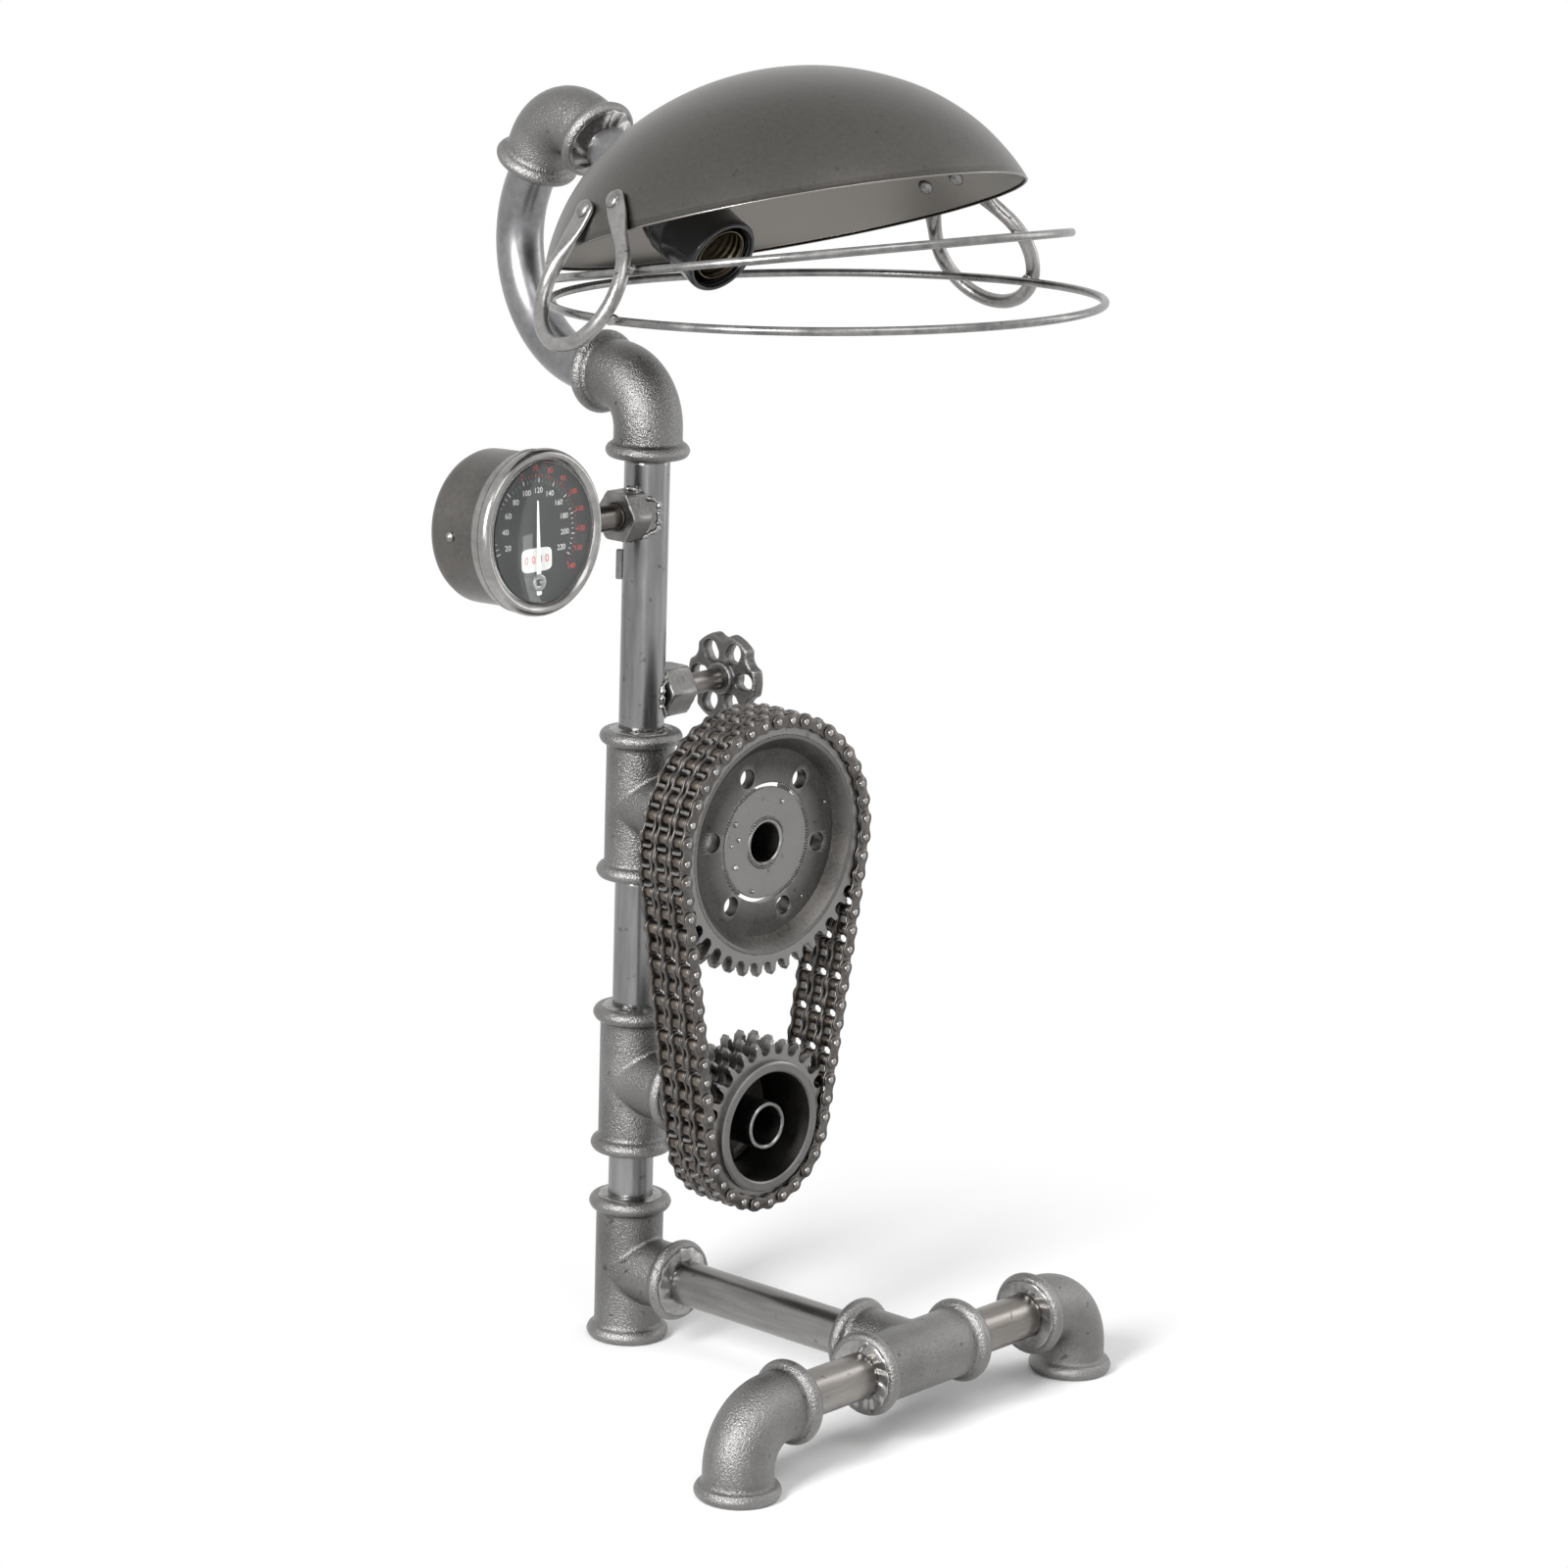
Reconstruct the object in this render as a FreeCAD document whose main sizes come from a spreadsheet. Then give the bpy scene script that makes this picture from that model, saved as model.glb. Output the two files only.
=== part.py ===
import FreeCAD, Part
import math
import os

os.makedirs("parts", exist_ok=True)
doc = FreeCAD.newDocument("pipe_lamp")

# Driving dimensions, in millimetres and degrees.
sheet = doc.addObject("Spreadsheet::Sheet", "Sizes")
sizes = {
    # Malleable one inch fittings
    "fitting_reach": 38.0,
    "bead_radius": 21.1,
    "bead_width": 7.0,
    "fitting_body_radius": 17.2,
    "fitting_bore_radius": 15.15,
    "pipe_radius": 11.4,
    "pipe_wall": 2.4,
    "pipe_engagement": 14.0,
    # Foot frame
    "spine_length": 114.9,
    "nipple_length": 49.6,
    # Column
    "lower_nipple_length": 24.2,
    "tee_spacing": 143.5,
    "column_length": 137.9,
    # Gooseneck and shade elbow
    "head_turn_angle": -6.0,
    "goose_radius": 60.0,
    "goose_tube_radius": 12.0,
    "goose_lead": 4.0,
    "goose_tail": 9.9,
    "shade_lean_angle": 26.6,
    "stub_length": 41.3,
    # Shade
    "rim_radius": 116.0,
    "dome_height": 72.2,
    "crown_radius": 139.8,
    "crown_angle": 30.6,
    "dome_sheet": 1.2,
    "dome_tilt": 17.3,
    # Lampholder
    "holder_reach": 62.0,
    "holder_radius": 19.5,
    "holder_wall": 2.4,
    "holder_cap_length": 24.0,
    "holder_neck_radius": 9.0,
    "shell_radius": 13.9,
    "shell_sheet": 0.5,
    "shell_length": 25.0,
    "contact_radius": 4.0,
    "contact_sheet": 1.5,
    "insulator_height": 6.0,
    "shell_seat": 1.5,
    "shade_nipple_radius": 5.0,
    "shade_nipple_bore": 3.9,
    "shade_nipple_depth": 16.0,
    "lock_nut_radius": 8.2,
    "lock_nut_height": 3.0,
    "lead_hole_radius": 2.6,
    # Carrying loops
    "loop_rod_radius": 3.5,
    "loop_bend": 29.0,
    "loop_drop": 70.0,
    "loop_flare_angle": 27.0,
    "loop_back": 3.0,
    "rivet_spacing": 22.0,
    "rivet_height": 14.5,
    "rivet_radius": 1.7,
    "rivet_head_radius": 3.8,
    "rivet_head_height": 1.5,
    "pad_thickness": 3.0,
    "pad_width": 10.0,
    "pad_length": 13.0,
    # Guard hoops
    "hoop_wire_radius": 2.0,
    "upper_hoop_radius": 122.0,
    "upper_hoop_ahead": 19.5,
    "upper_hoop_drop": 13.6,
    "upper_hoop_tilt": 10.1,
    "lower_hoop_radius": 131.0,
    "lower_hoop_ahead": 29.7,
    "lower_hoop_drop": 33.7,
    "lower_hoop_tilt": 2.4,
    "hoop_stud_radius": 1.8,
    # Chain
    "drive_turn_angle": -3.0,
    "drive_drop": 3.0,
    "chain_pitch": 9.525,
    "roller_radius": 3.175,
    "inner_width": 5.72,
    "inner_plate": 1.3,
    "outer_plate": 1.04,
    "strand_pitch": 10.24,
    "plate_half_height": 4.1,
    "pin_radius": 1.64,
    "pin_head": 0.8,
    "chain_phase": 0.81,
    "chain_reach": 83.0,
    # Sprockets
    "upper_teeth": 41,
    "lower_teeth": 26,
    "tooth_width": 5.3,
    "tooth_depth": 3.3,
    "tooth_rise": 2.6,
    "gap_foot": 2.4,
    "gap_mouth": 4.0,
    "drum_step": 6.3,
    "upper_rim_inner": 47.5,
    "upper_bevel": 5.5,
    "upper_web": 6.0,
    "upper_web_set": 6.4,
    "web_hole_radius": 4.7,
    "web_hole_circle": 36.5,
    "web_hole_angle": -8.1,
    "centre_bore_radius": 30.0,
    "centre_disc_radius": 28.0,
    "centre_disc_plate": 4.5,
    "hub_radius": 12.0,
    "hub_wall": 2.0,
    "upper_hub_end": 89.8,
    "lower_hub_end": 96.7,
    "cup_radius": 28.0,
    "cup_rim": 99.0,
    "cup_back": 60.0,
    "cup_web": 6.0,
    "slit_width": 3.0,
    "slit_length": 14.0,
    "slit_circle": 22.0,
    # Gauge
    "gauge_drop": 24.1,
    "gauge_arm": 95.0,
    "gauge_pitch_angle": 2.5,
    "case_radius": 37.5,
    "case_depth": 36.0,
    "case_wall": 1.5,
    "bezel_overhang": 3.0,
    "bezel_lip": 3.0,
    "bezel_depth": 11.0,
    "dial_face": 16.5,
    "dial_plate": 0.8,
    "glass_plate": 1.6,
    "glass_gap": 4.0,
    "needle_edge": 11.5,
    "needle_length": 39.0,
    "needle_tail": 6.0,
    "needle_half_width": 1.6,
    "needle_tip": 0.35,
    "needle_sheet": 0.6,
    "needle_hub_radius": 4.2,
    "needle_hub_height": 1.6,
    "needle_pin_radius": 1.2,
    "gauge_stem_radius": 6.5,
    "gauge_stem_drop": 3.5,
    "nut_flats": 24.0,
    "gauge_nut_length": 13.4,
    "nut_start": 9.0,
    "case_screw_radius": 2.4,
    "case_screw_height": 2.0,
    # Valve
    "valve_rise": 17.8,
    "valve_nut_length": 18.0,
    "valve_stem_radius": 5.5,
    "wheel_reach": 63.0,
    "wheel_radius": 23.5,
    "wheel_thickness": 7.0,
    "wheel_hub_radius": 8.5,
    "wheel_hub_length": 12.0,
    "wheel_hole_radius": 4.2,
    "wheel_hole_circle": 14.8,
    "wheel_scallop_radius": 7.5,
    "wheel_scallop_circle": 28.2,
    "stem_collar_radius": 7.5,
    "stem_collar_length": 4.0,
    # Strip behind the column
    "strip_length": 15.0,
    "strip_width": 3.0,
    "strip_drop": 54.6,
    "strip_angle": 215.0,
    # Clearances
    "seat_gap": 0.05,
    "running_gap": 0.06,
    "free_gap": 0.5,
}
for row, (alias, value) in enumerate(sizes.items(), start=1):
    sheet.set("A%d" % row, alias)
    sheet.set("B%d" % row, str(value))
    sheet.setAlias("B%d" % row, alias)
doc.recompute()


def val(alias):
    """Reads one driving dimension from the sheet."""
    return float(getattr(sheet, alias))


def bind(obj, **texts):
    """Binds properties of an object to expressions over the sheet."""
    for name, text in texts.items():
        for alias in sorted(sizes, key=len, reverse=True):
            text = text.replace("<" + alias + ">", "Sizes." + alias)
        obj.setExpression(name, text)
    return obj


count = {"n": 0}


def new(kind, stem):
    """Adds a helper object with a name of its own."""
    count["n"] += 1
    return doc.addObject(kind, "%s_%d" % (stem, count["n"]))


V = FreeCAD.Vector
XAXIS = V(1, 0, 0)
YAXIS = V(0, 1, 0)
ZAXIS = V(0, 0, 1)


def pose(at=V(0, 0, 0), along=ZAXIS, turn=0.0):
    """Placement at a point whose local Z runs along a direction."""
    rot = FreeCAD.Rotation(ZAXIS, along) * FreeCAD.Rotation(ZAXIS, turn)
    return FreeCAD.Placement(at, rot)


def cylinder(radius, length, at=V(0, 0, 0), along=ZAXIS):
    obj = new("Part::Cylinder", "Cylinder")
    obj.Placement = pose(at, along)
    return bind(obj, Radius=radius, Height=length)


def cone(radius1, radius2, length, at=V(0, 0, 0), along=ZAXIS):
    obj = new("Part::Cone", "Cone")
    obj.Placement = pose(at, along)
    return bind(obj, Radius1=radius1, Radius2=radius2, Height=length)


def torus(ring, wire, angle, place=FreeCAD.Placement()):
    obj = new("Part::Torus", "Torus")
    obj.Placement = place
    return bind(obj, Radius1=ring, Radius2=wire, Angle3=angle)


def fuse(parts, label=None, place=None):
    obj = new("Part::MultiFuse", "Fuse")
    obj.Shapes = parts
    return finish(obj, label, place)


def cut(base, tool, label=None, place=None):
    obj = new("Part::Cut", "Cut")
    obj.Base = base
    obj.Tool = tool
    return finish(obj, label, place)


nodes = []


def finish(obj, label, place=None):
    """Gives a finished sub-part its label and its place."""
    if place is not None:
        obj.Placement = place
    if label:
        obj.Label = label
        nodes.append(obj)
    return obj


def feature(shape, label, place=None):
    """A sub-part whose shape comes from Part's own functions."""
    obj = doc.addObject("Part::Feature", "Feature_" + label)
    obj.Shape = shape
    return finish(obj, label, place)


def solid(shape, stem="Tool"):
    """A helper feature for a boolean."""
    obj = new("Part::Feature", stem)
    obj.Shape = shape
    return obj


# Key places that the sizes give.
reach = val("fitting_reach")
spine_tee_x = reach + val("spine_length") + reach
rear_tee_z = reach
mid_tee_z = 3 * reach + val("lower_nipple_length")
upper_tee_z = mid_tee_z + val("tee_spacing")
top_mouth_z = upper_tee_z + reach + val("column_length")
top_elbow_z = top_mouth_z + reach
head = FreeCAD.Placement(V(0, 0, 0), FreeCAD.Rotation(ZAXIS, val("head_turn_angle")))
hub_drop = V(0, 0, -val("drive_drop"))
drive = FreeCAD.Placement(V(0, 0, 0), FreeCAD.Rotation(ZAXIS, val("drive_turn_angle")))


# Malleable fittings: a body with a rolled bead round every mouth. A mouth
# with a pipe in it is filled flush with weld metal down to the pipe.
OPEN = "<fitting_bore_radius>"
PIPE = "<pipe_radius>+<seat_gap>"
HUB = "<hub_radius>+<seat_gap>"
GOOSE = "<goose_tube_radius>+<seat_gap>"


def beaded_arm(along, start):
    """One arm of a fitting, out to its beaded mouth."""
    body = cylinder("<fitting_body_radius>", "<fitting_reach>-%g-0.5*<bead_width>" % start, along * start, along)
    bead = cylinder("<bead_radius>", "<bead_width>", along * (reach - val("bead_width")), along)
    return [body, bead]


def bore_arm(along, bore, shift=V(0, 0, 0)):
    """The bore of one arm, which runs out past the mouth."""
    return cylinder(bore, "<fitting_reach>+1", shift, along)


def tee(label, place, bores, shift=V(0, 0, 0)):
    """A tee with its run on local Z and its branch on local X."""
    outside = []
    inside = []
    for along, bore in zip((ZAXIS, -ZAXIS, XAXIS), bores):
        outside += beaded_arm(along, 0)
        inside.append(bore_arm(along, bore, shift if along == XAXIS else V(0, 0, 0)))
    return cut(fuse(outside), fuse(inside), label, place)


def elbow(label, place, bores):
    """A right angle elbow with mouths on local Z and on local -X, and a
    round heel bent about the corner between the two."""
    bend = reach - 2 * val("bead_width")
    corner = FreeCAD.Placement(V(-bend, 0, bend), FreeCAD.Rotation(XAXIS, -90))
    heel = torus("<fitting_reach>-2*<bead_width>", "<fitting_body_radius>", "90", corner)
    hollows = fuse([bore_arm(along, bore) for along, bore in zip((ZAXIS, -XAXIS), bores)])
    shells = [cut(heel, hollows)]
    for along, bore in zip((ZAXIS, -XAXIS), bores):
        shells.append(cut(fuse(beaded_arm(along, bend)), bore_arm(along, bore)))
    return fuse(shells, label, place)


def tube(label, visible, at, along, place=None):
    """A pipe whose ends reach into the fittings on both sides."""
    deep = val("pipe_engagement")
    start = at - along * deep
    outer = cylinder("<pipe_radius>", visible + "+2*<pipe_engagement>", start, along)
    inner_start = start - along
    inner = cylinder("<pipe_radius>-<pipe_wall>", visible + "+2*<pipe_engagement>+2", inner_start, along)
    return cut(outer, inner, label, place)


tee("rear_tee", pose(V(0, 0, rear_tee_z)), (PIPE, OPEN, PIPE))
tube("spine_pipe", "<spine_length>", V(reach, 0, rear_tee_z), XAXIS)
front_turn = FreeCAD.Rotation(ZAXIS, 180) * FreeCAD.Rotation(XAXIS, 90)
tee("front_tee", FreeCAD.Placement(V(spine_tee_x, 0, rear_tee_z), front_turn), (PIPE, PIPE, PIPE))
for side, name in ((-1, "left"), (1, "right")):
    outwards = YAXIS * side
    mouth = V(spine_tee_x, side * reach, rear_tee_z)
    tube(name + "_nipple", "<nipple_length>", mouth, outwards)
    foot = V(spine_tee_x, side * (2 * reach + val("nipple_length")), rear_tee_z)
    # The elbow's local Z points down to the floor and local -X back to the tee.
    turn = FreeCAD.Rotation(outwards, ZAXIS.cross(outwards), -ZAXIS, "ZXY")
    elbow(name + "_foot_elbow", FreeCAD.Placement(foot, turn), (OPEN, PIPE))
tube("lower_nipple", "<lower_nipple_length>", V(0, 0, 2 * reach), ZAXIS)
tee("mid_tee", FreeCAD.Placement(V(0, 0, mid_tee_z), drive.Rotation), (PIPE, PIPE, HUB), hub_drop)
tube("mid_pipe", "<tee_spacing>-2*<fitting_reach>", V(0, 0, mid_tee_z + reach), ZAXIS)
tee("upper_tee", FreeCAD.Placement(V(0, 0, upper_tee_z), drive.Rotation), (PIPE, PIPE, HUB), hub_drop)
tube("column_pipe", "<column_length>", V(0, 0, upper_tee_z + reach), ZAXIS)
elbow("top_elbow", FreeCAD.Placement(V(0, 0, top_elbow_z), head.Rotation * FreeCAD.Rotation(XAXIS, 180)), (PIPE, GOOSE))

# Gooseneck in the head plane, where x runs forward from the column.
lean = math.radians(val("shade_lean_angle"))
up_lean = V(math.sin(lean), 0, math.cos(lean))
exit_dir = V(math.cos(lean), 0, -math.sin(lean))
goose_r = val("goose_radius")
goose_start = V(-reach - val("goose_lead"), 0, top_elbow_z)
goose_centre = goose_start + V(0, 0, goose_r)
goose_end = goose_centre + V(-math.cos(lean), 0, math.sin(lean)) * goose_r
shade_mouth = goose_end + up_lean * val("goose_tail")
shade_centre = shade_mouth + up_lean * reach
exit_mouth = shade_centre + exit_dir * reach


def goose_body(radius, extra):
    """Straight lead, bend of a right angle and the lean, straight tail."""
    into = val("pipe_engagement") - 2
    lead_start = V(-reach + into + extra, 0, top_elbow_z)
    lead = cylinder(radius, "<goose_lead>+<pipe_engagement>-2+%g" % extra, lead_start, -XAXIS)
    ring = FreeCAD.Placement(goose_centre, FreeCAD.Rotation(V(0, 0, -1), V(0, 0, 0), YAXIS, "XZY"))
    bend = torus("<goose_radius>", radius, "90+<shade_lean_angle>", ring)
    tail = cylinder(radius, "<goose_tail>+<pipe_engagement>-2+%g" % extra, goose_end, up_lean)
    return fuse([lead, bend, tail])


cut(goose_body("<goose_tube_radius>", 0), goose_body("<goose_tube_radius>-<pipe_wall>", 1), "gooseneck", head)
# The shade elbow takes the gooseneck from below and looks forward and down.
shade_turn = FreeCAD.Rotation(-exit_dir, V(0, 0, 0), -up_lean, "XZY")
elbow("shade_elbow", head * FreeCAD.Placement(shade_centre, shade_turn), (GOOSE, PIPE))

# Shade: a thin dome, a round crown that runs over into a tighter shoulder.
rim = val("rim_radius")
dome_h = val("dome_height")
crown_r = val("crown_radius")
crown_a = math.radians(val("crown_angle"))
crown_z = dome_h - crown_r
joint_dir = V(math.sin(crown_a), 0, math.cos(crown_a))
to_rim = V(rim, 0, -crown_z) - joint_dir * crown_r
shoulder_r = -to_rim.dot(to_rim) / (2 * to_rim.dot(joint_dir))
shoulder = V(0, 0, crown_z) + joint_dir * (crown_r - shoulder_r)
tilt = math.radians(val("dome_tilt"))
dome_n = V(-math.sin(tilt), 0, math.cos(tilt))
dome_e = V(math.cos(tilt), 0, math.sin(tilt))
# Wall point whose normal is the lampholder's axis.
gamma = lean + tilt
wall_rho = shoulder.x + shoulder_r * math.cos(gamma)
wall_z = shoulder.z + shoulder_r * math.sin(gamma)
wall_point = exit_mouth + exit_dir * val("stub_length")
rim_centre = wall_point + dome_e * wall_rho - dome_n * wall_z
dome_place = FreeCAD.Placement(rim_centre, FreeCAD.Rotation(dome_e, V(0, 0, 0), dome_n, "XZY"))
holder_local = dome_place.inverse().multVec(wall_point)
holder_along = dome_place.inverse().Rotation.multVec(exit_dir)


def dome_side(grow, low):
    """Profile arcs of the dome, grown outwards, from the crown down."""
    top = V(0, 0, dome_h + grow)
    half_dir = V(math.sin(crown_a / 2), 0, math.cos(crown_a / 2))
    joint = V(0, 0, crown_z) + joint_dir * (crown_r + grow)
    reach_low = math.asin((low - shoulder.z) / (shoulder_r + grow))
    mid_angle = (reach_low + math.pi / 2 - crown_a) / 2
    mid = shoulder + V(math.cos(mid_angle), 0, math.sin(mid_angle)) * (shoulder_r + grow)
    end = shoulder + V(math.cos(reach_low), 0, math.sin(reach_low)) * (shoulder_r + grow)
    crown_arc = Part.Arc(top, V(0, 0, crown_z) + half_dir * (crown_r + grow), joint).toShape()
    return [crown_arc, Part.Arc(joint, mid, end).toShape()], top, end


def turned(edges):
    """The solid that a closed profile sweeps in a full turn about Z."""
    face = Part.Face(Part.Wire(Part.__sortEdges__(edges)))
    body = face.revolve(V(0, 0, 0), ZAXIS, 360)
    if body.Volume < 0:
        body = face.revolve(V(0, 0, 0), ZAXIS, -360)
    return body.Solids[0]


def cap_solid(low, grow=0.0):
    """The dome as a solid body down to a level."""
    arcs, top, end = dome_side(grow, low)
    foot = V(0, 0, low)
    return turned(arcs + [Part.makeLine(end, foot), Part.makeLine(foot, top)])


sheet_t = val("dome_sheet")
gap = val("seat_gap")
free = val("free_gap")
outer_arcs, outer_top, outer_end = dome_side(0, 0)
inner_arcs, inner_top, inner_end = dome_side(-sheet_t, 0)
tail_arcs, tail_top, tail_end = dome_side(-sheet_t - free, 0)
tail_room = turned(outer_arcs + tail_arcs + [Part.makeLine(outer_top, tail_top), Part.makeLine(outer_end, tail_end)])
outer_cap = turned(outer_arcs + inner_arcs + [Part.makeLine(outer_top, inner_top), Part.makeLine(outer_end, inner_end)])
nipple_r = val("shade_nipple_radius")
nipple_t = val("shade_nipple_depth")
wall_hole = Part.makeCylinder(nipple_r + gap, 2 * nipple_t, holder_local - holder_along * nipple_t, holder_along)

# Loops, rivets: each loop hangs in a plane that leans out from the wall.
flare = math.radians(val("loop_flare_angle"))
rod = val("loop_rod_radius")
half_span = val("rivet_spacing") / 2
rivet_z = val("rivet_height")
steep = math.asin((rivet_z - shoulder.z) / shoulder_r)
wall_at_rivet = shoulder.x + shoulder_r * math.cos(steep)
back = val("loop_back")
pad_t = val("pad_thickness")


def loop_frame(side, angle, out):
    """Plane of a loop: local X forward, local Y down and out, local Z out."""
    around = FreeCAD.Rotation(ZAXIS, math.degrees(-side * math.asin(back / wall_at_rivet)) * -side)
    forward = V(1, 0, 0)
    down = V(0, side * math.sin(angle), -math.cos(angle))
    normal = V(0, side * math.cos(angle), math.sin(angle))
    base = V(-back, side * wall_at_rivet, rivet_z) + V(0, side * math.cos(steep), math.sin(steep)) * out
    turn = FreeCAD.Rotation(forward, down, normal, "XYZ")
    return FreeCAD.Placement(base, turn)


def tangent_point(side_u):
    """Where the straight leg from a rivet meets the round bottom."""
    centre = V(0, val("loop_drop") - val("loop_bend"), 0)
    rivet = V(side_u * half_span, 0, 0)
    to_rivet = rivet - centre
    distance = to_rivet.Length
    swing = math.acos(val("loop_bend") / distance)
    base = math.atan2(to_rivet.y, to_rivet.x)
    angle = base + side_u * swing
    return centre + V(math.cos(angle), math.sin(angle), 0) * val("loop_bend"), rivet, centre


def rod_solid(radius, start_in=0.0):
    """Straight leg, round bottom, straight leg, in the loop's own plane."""
    front_t, front_r, centre = tangent_point(1)
    rear_t, rear_r, centre = tangent_point(-1)
    a0 = math.degrees(math.atan2(front_t.y - centre.y, front_t.x - centre.x))
    a1 = math.degrees(math.atan2(rear_t.y - centre.y, rear_t.x - centre.x)) % 360
    bend = Part.makeTorus(val("loop_bend"), radius, V(0, 0, 0), ZAXIS, 0, 360, a1 - a0)
    bend.Placement = FreeCAD.Placement(centre, FreeCAD.Rotation(ZAXIS, a0))
    pieces = []
    for at, start in ((front_t, front_r), (rear_t, rear_r)):
        along = (at - start).normalize()
        pieces.append(Part.makeCylinder(radius, (at - start).Length - start_in, start + along * start_in, along))
    return bend.fuse(pieces)


def pads():
    """Flattened ends of the rod, one at each rivet."""
    shapes = []
    for side_u in (1, -1):
        touch, rivet, centre = tangent_point(side_u)
        along = (touch - rivet).normalize()
        width = val("pad_width")
        box = Part.makeBox(width, val("pad_length"), pad_t, V(-width / 2, -width / 2, -pad_t / 2))
        box.Placement = FreeCAD.Placement(rivet, FreeCAD.Rotation(V(0, 0, 0), along, ZAXIS, "YZX"))
        shapes.append(box)
    return shapes


rivets = []
dome_cuts = [wall_hole]
loop_shapes = {}
for side, name in ((-1, "left"), (1, "right")):
    frame = loop_frame(side, flare, pad_t / 2 + gap)
    flat = loop_frame(side, steep, pad_t / 2 - 0.45)
    rod_part = rod_solid(rod, val("pad_length") - val("pad_width") / 2 - 2.0)
    rod_part.Placement = frame
    body = rod_part
    for pad in pads():
        pad.Placement = flat * pad.Placement
        body = body.fuse(pad)
    body = body.cut(cap_solid(-20, gap))
    for side_u in (1, -1):
        at = flat.multVec(V(side_u * half_span, 0, 0))
        outward = V(0, side * math.cos(steep), math.sin(steep))
        shank = Part.makeCylinder(val("rivet_radius"), 2 * pad_t + 4 * sheet_t, at - outward * (pad_t + 2 * sheet_t), outward)
        hole = Part.makeCylinder(val("rivet_radius") + gap, 2 * val("pad_length"), at - outward * val("pad_length"), outward)
        body = body.cut(hole)
        dome_cuts.append(hole)
        top = at + outward * (pad_t / 2 + gap)
        head_low = Part.makeCylinder(val("rivet_head_radius"), val("rivet_head_height"), top, outward)
        under = at - outward * (pad_t / 2 + 2 * sheet_t)
        tail = Part.makeCylinder(0.85 * val("rivet_head_radius"), val("rivet_head_height"), under, -outward)
        tail = max(tail.cut(tail_room).Solids, key=lambda piece: piece.Volume)
        span = (top - under).Length
        core = Part.makeCylinder(val("rivet_radius"), span + 0.2, under - outward * 0.1, outward)
        rivets.append(core.fuse([head_low, tail]).removeSplitter())
    loop_shapes[name] = body.removeSplitter()
    feature(loop_shapes[name], name + "_loop", head * dome_place)
shade_shape = outer_cap
for tool in dome_cuts:
    shade_shape = shade_shape.cut(tool)
feature(shade_shape, "shade", head * dome_place)
feature(Part.makeCompound(rivets), "loop_rivets", head * dome_place)

# Guard hoops under the rim, in the head plane.
hoops = {}
for name, order in (("upper", 0), ("lower", 1)):
    centre = rim_centre + V(val(name + "_hoop_ahead"), 0, -val(name + "_hoop_drop"))
    lift = math.radians(val(name + "_hoop_tilt"))
    normal = V(-math.sin(lift), 0, math.cos(lift))
    ring = Part.makeTorus(val(name + "_hoop_radius"), val("hoop_wire_radius"), centre, normal)
    hoops[name] = (ring, centre, normal)
for name in ("upper", "lower"):
    feature(hoops[name][0], name + "_hoop", head)

# Short weld studs where each hoop passes the loops' legs most closely.
studs = []
for name in ("upper", "lower"):
    ring, centre, normal = hoops[name]
    for side in (-1, 1):
        frame = dome_place * loop_frame(side, flare, pad_t / 2 + gap)
        touch, rivet, mid = tangent_point(1)
        best = None
        for step in range(0, 61):
            if step <= 20:
                on_leg = rivet + (touch - rivet) * (step / 20.0)
            else:
                turn = FreeCAD.Rotation(ZAXIS, 90.0 * (step - 20) / 40.0)
                on_leg = mid + turn.multVec(touch - mid)
            point = frame.multVec(on_leg)
            flat_part = (point - centre) - normal * (point - centre).dot(normal)
            nearest = centre + flat_part.normalize() * val(name + "_hoop_radius")
            distance = (point - nearest).Length
            if best is None or distance < best[0]:
                best = (distance, point, nearest)
        distance, point, nearest = best
        between = (point - nearest).normalize()
        length = distance - rod - val("hoop_wire_radius") - 4 * gap
        start = nearest + between * (val("hoop_wire_radius") + gap)
        if length > 2 * gap:
            studs.append(Part.makeCylinder(val("hoop_stud_radius"), length, start, between))
if studs:
    feature(Part.makeCompound(studs), "hoop_welds", head)

# Stub tube from the shade elbow to the dome, which it meets square on.
tube("shade_stub", "<stub_length>-<pipe_engagement>-<seat_gap>", exit_mouth, exit_dir, head)

# Lampholder on a threaded nipple inside the dome. Its axis is local Z.
holder_place = head * FreeCAD.Placement(wall_point, FreeCAD.Rotation(ZAXIS, exit_dir))
nip = cylinder("<shade_nipple_radius>", "2*<shade_nipple_depth>", V(0, 0, -val("shade_nipple_depth")))
nip_bore = cylinder("<shade_nipple_bore>", "2*<shade_nipple_depth>+2", V(0, 0, -val("shade_nipple_depth") - 1))
cut(nip, nip_bore, "shade_nipple", holder_place)
nut_z = sheet_t + 0.35
nut_prism = new("Part::Prism", "Prism")
nut_prism.Polygon = 6
nut_prism.Placement = pose(V(0, 0, nut_z))
bind(nut_prism, Circumradius="<lock_nut_radius>", Height="<lock_nut_height>")
cut(nut_prism, cylinder("<shade_nipple_radius>+<seat_gap>", "<lock_nut_height>+2", V(0, 0, nut_z - 1)), "lock_nut", holder_place)
cap_z = nut_z + val("lock_nut_height") + gap
cap_outer = cone("<holder_neck_radius>", "<holder_radius>", "<holder_cap_length>", V(0, 0, cap_z))
cap_inner = cone("<holder_neck_radius>-<holder_wall>", "<holder_radius>-<holder_wall>", "<holder_cap_length>", V(0, 0, cap_z + val("holder_wall")))
cap_bore = cylinder("<shade_nipple_radius>+<seat_gap>", "<holder_wall>+2", V(0, 0, cap_z - 1))
cut(cap_outer, fuse([cap_inner, cap_bore]), "lampholder_cap", holder_place)
body_z = cap_z + val("holder_cap_length") + gap
sleeve_length = "<holder_reach>-%g" % body_z
sleeve = cylinder("<holder_radius>", sleeve_length, V(0, 0, body_z))
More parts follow.
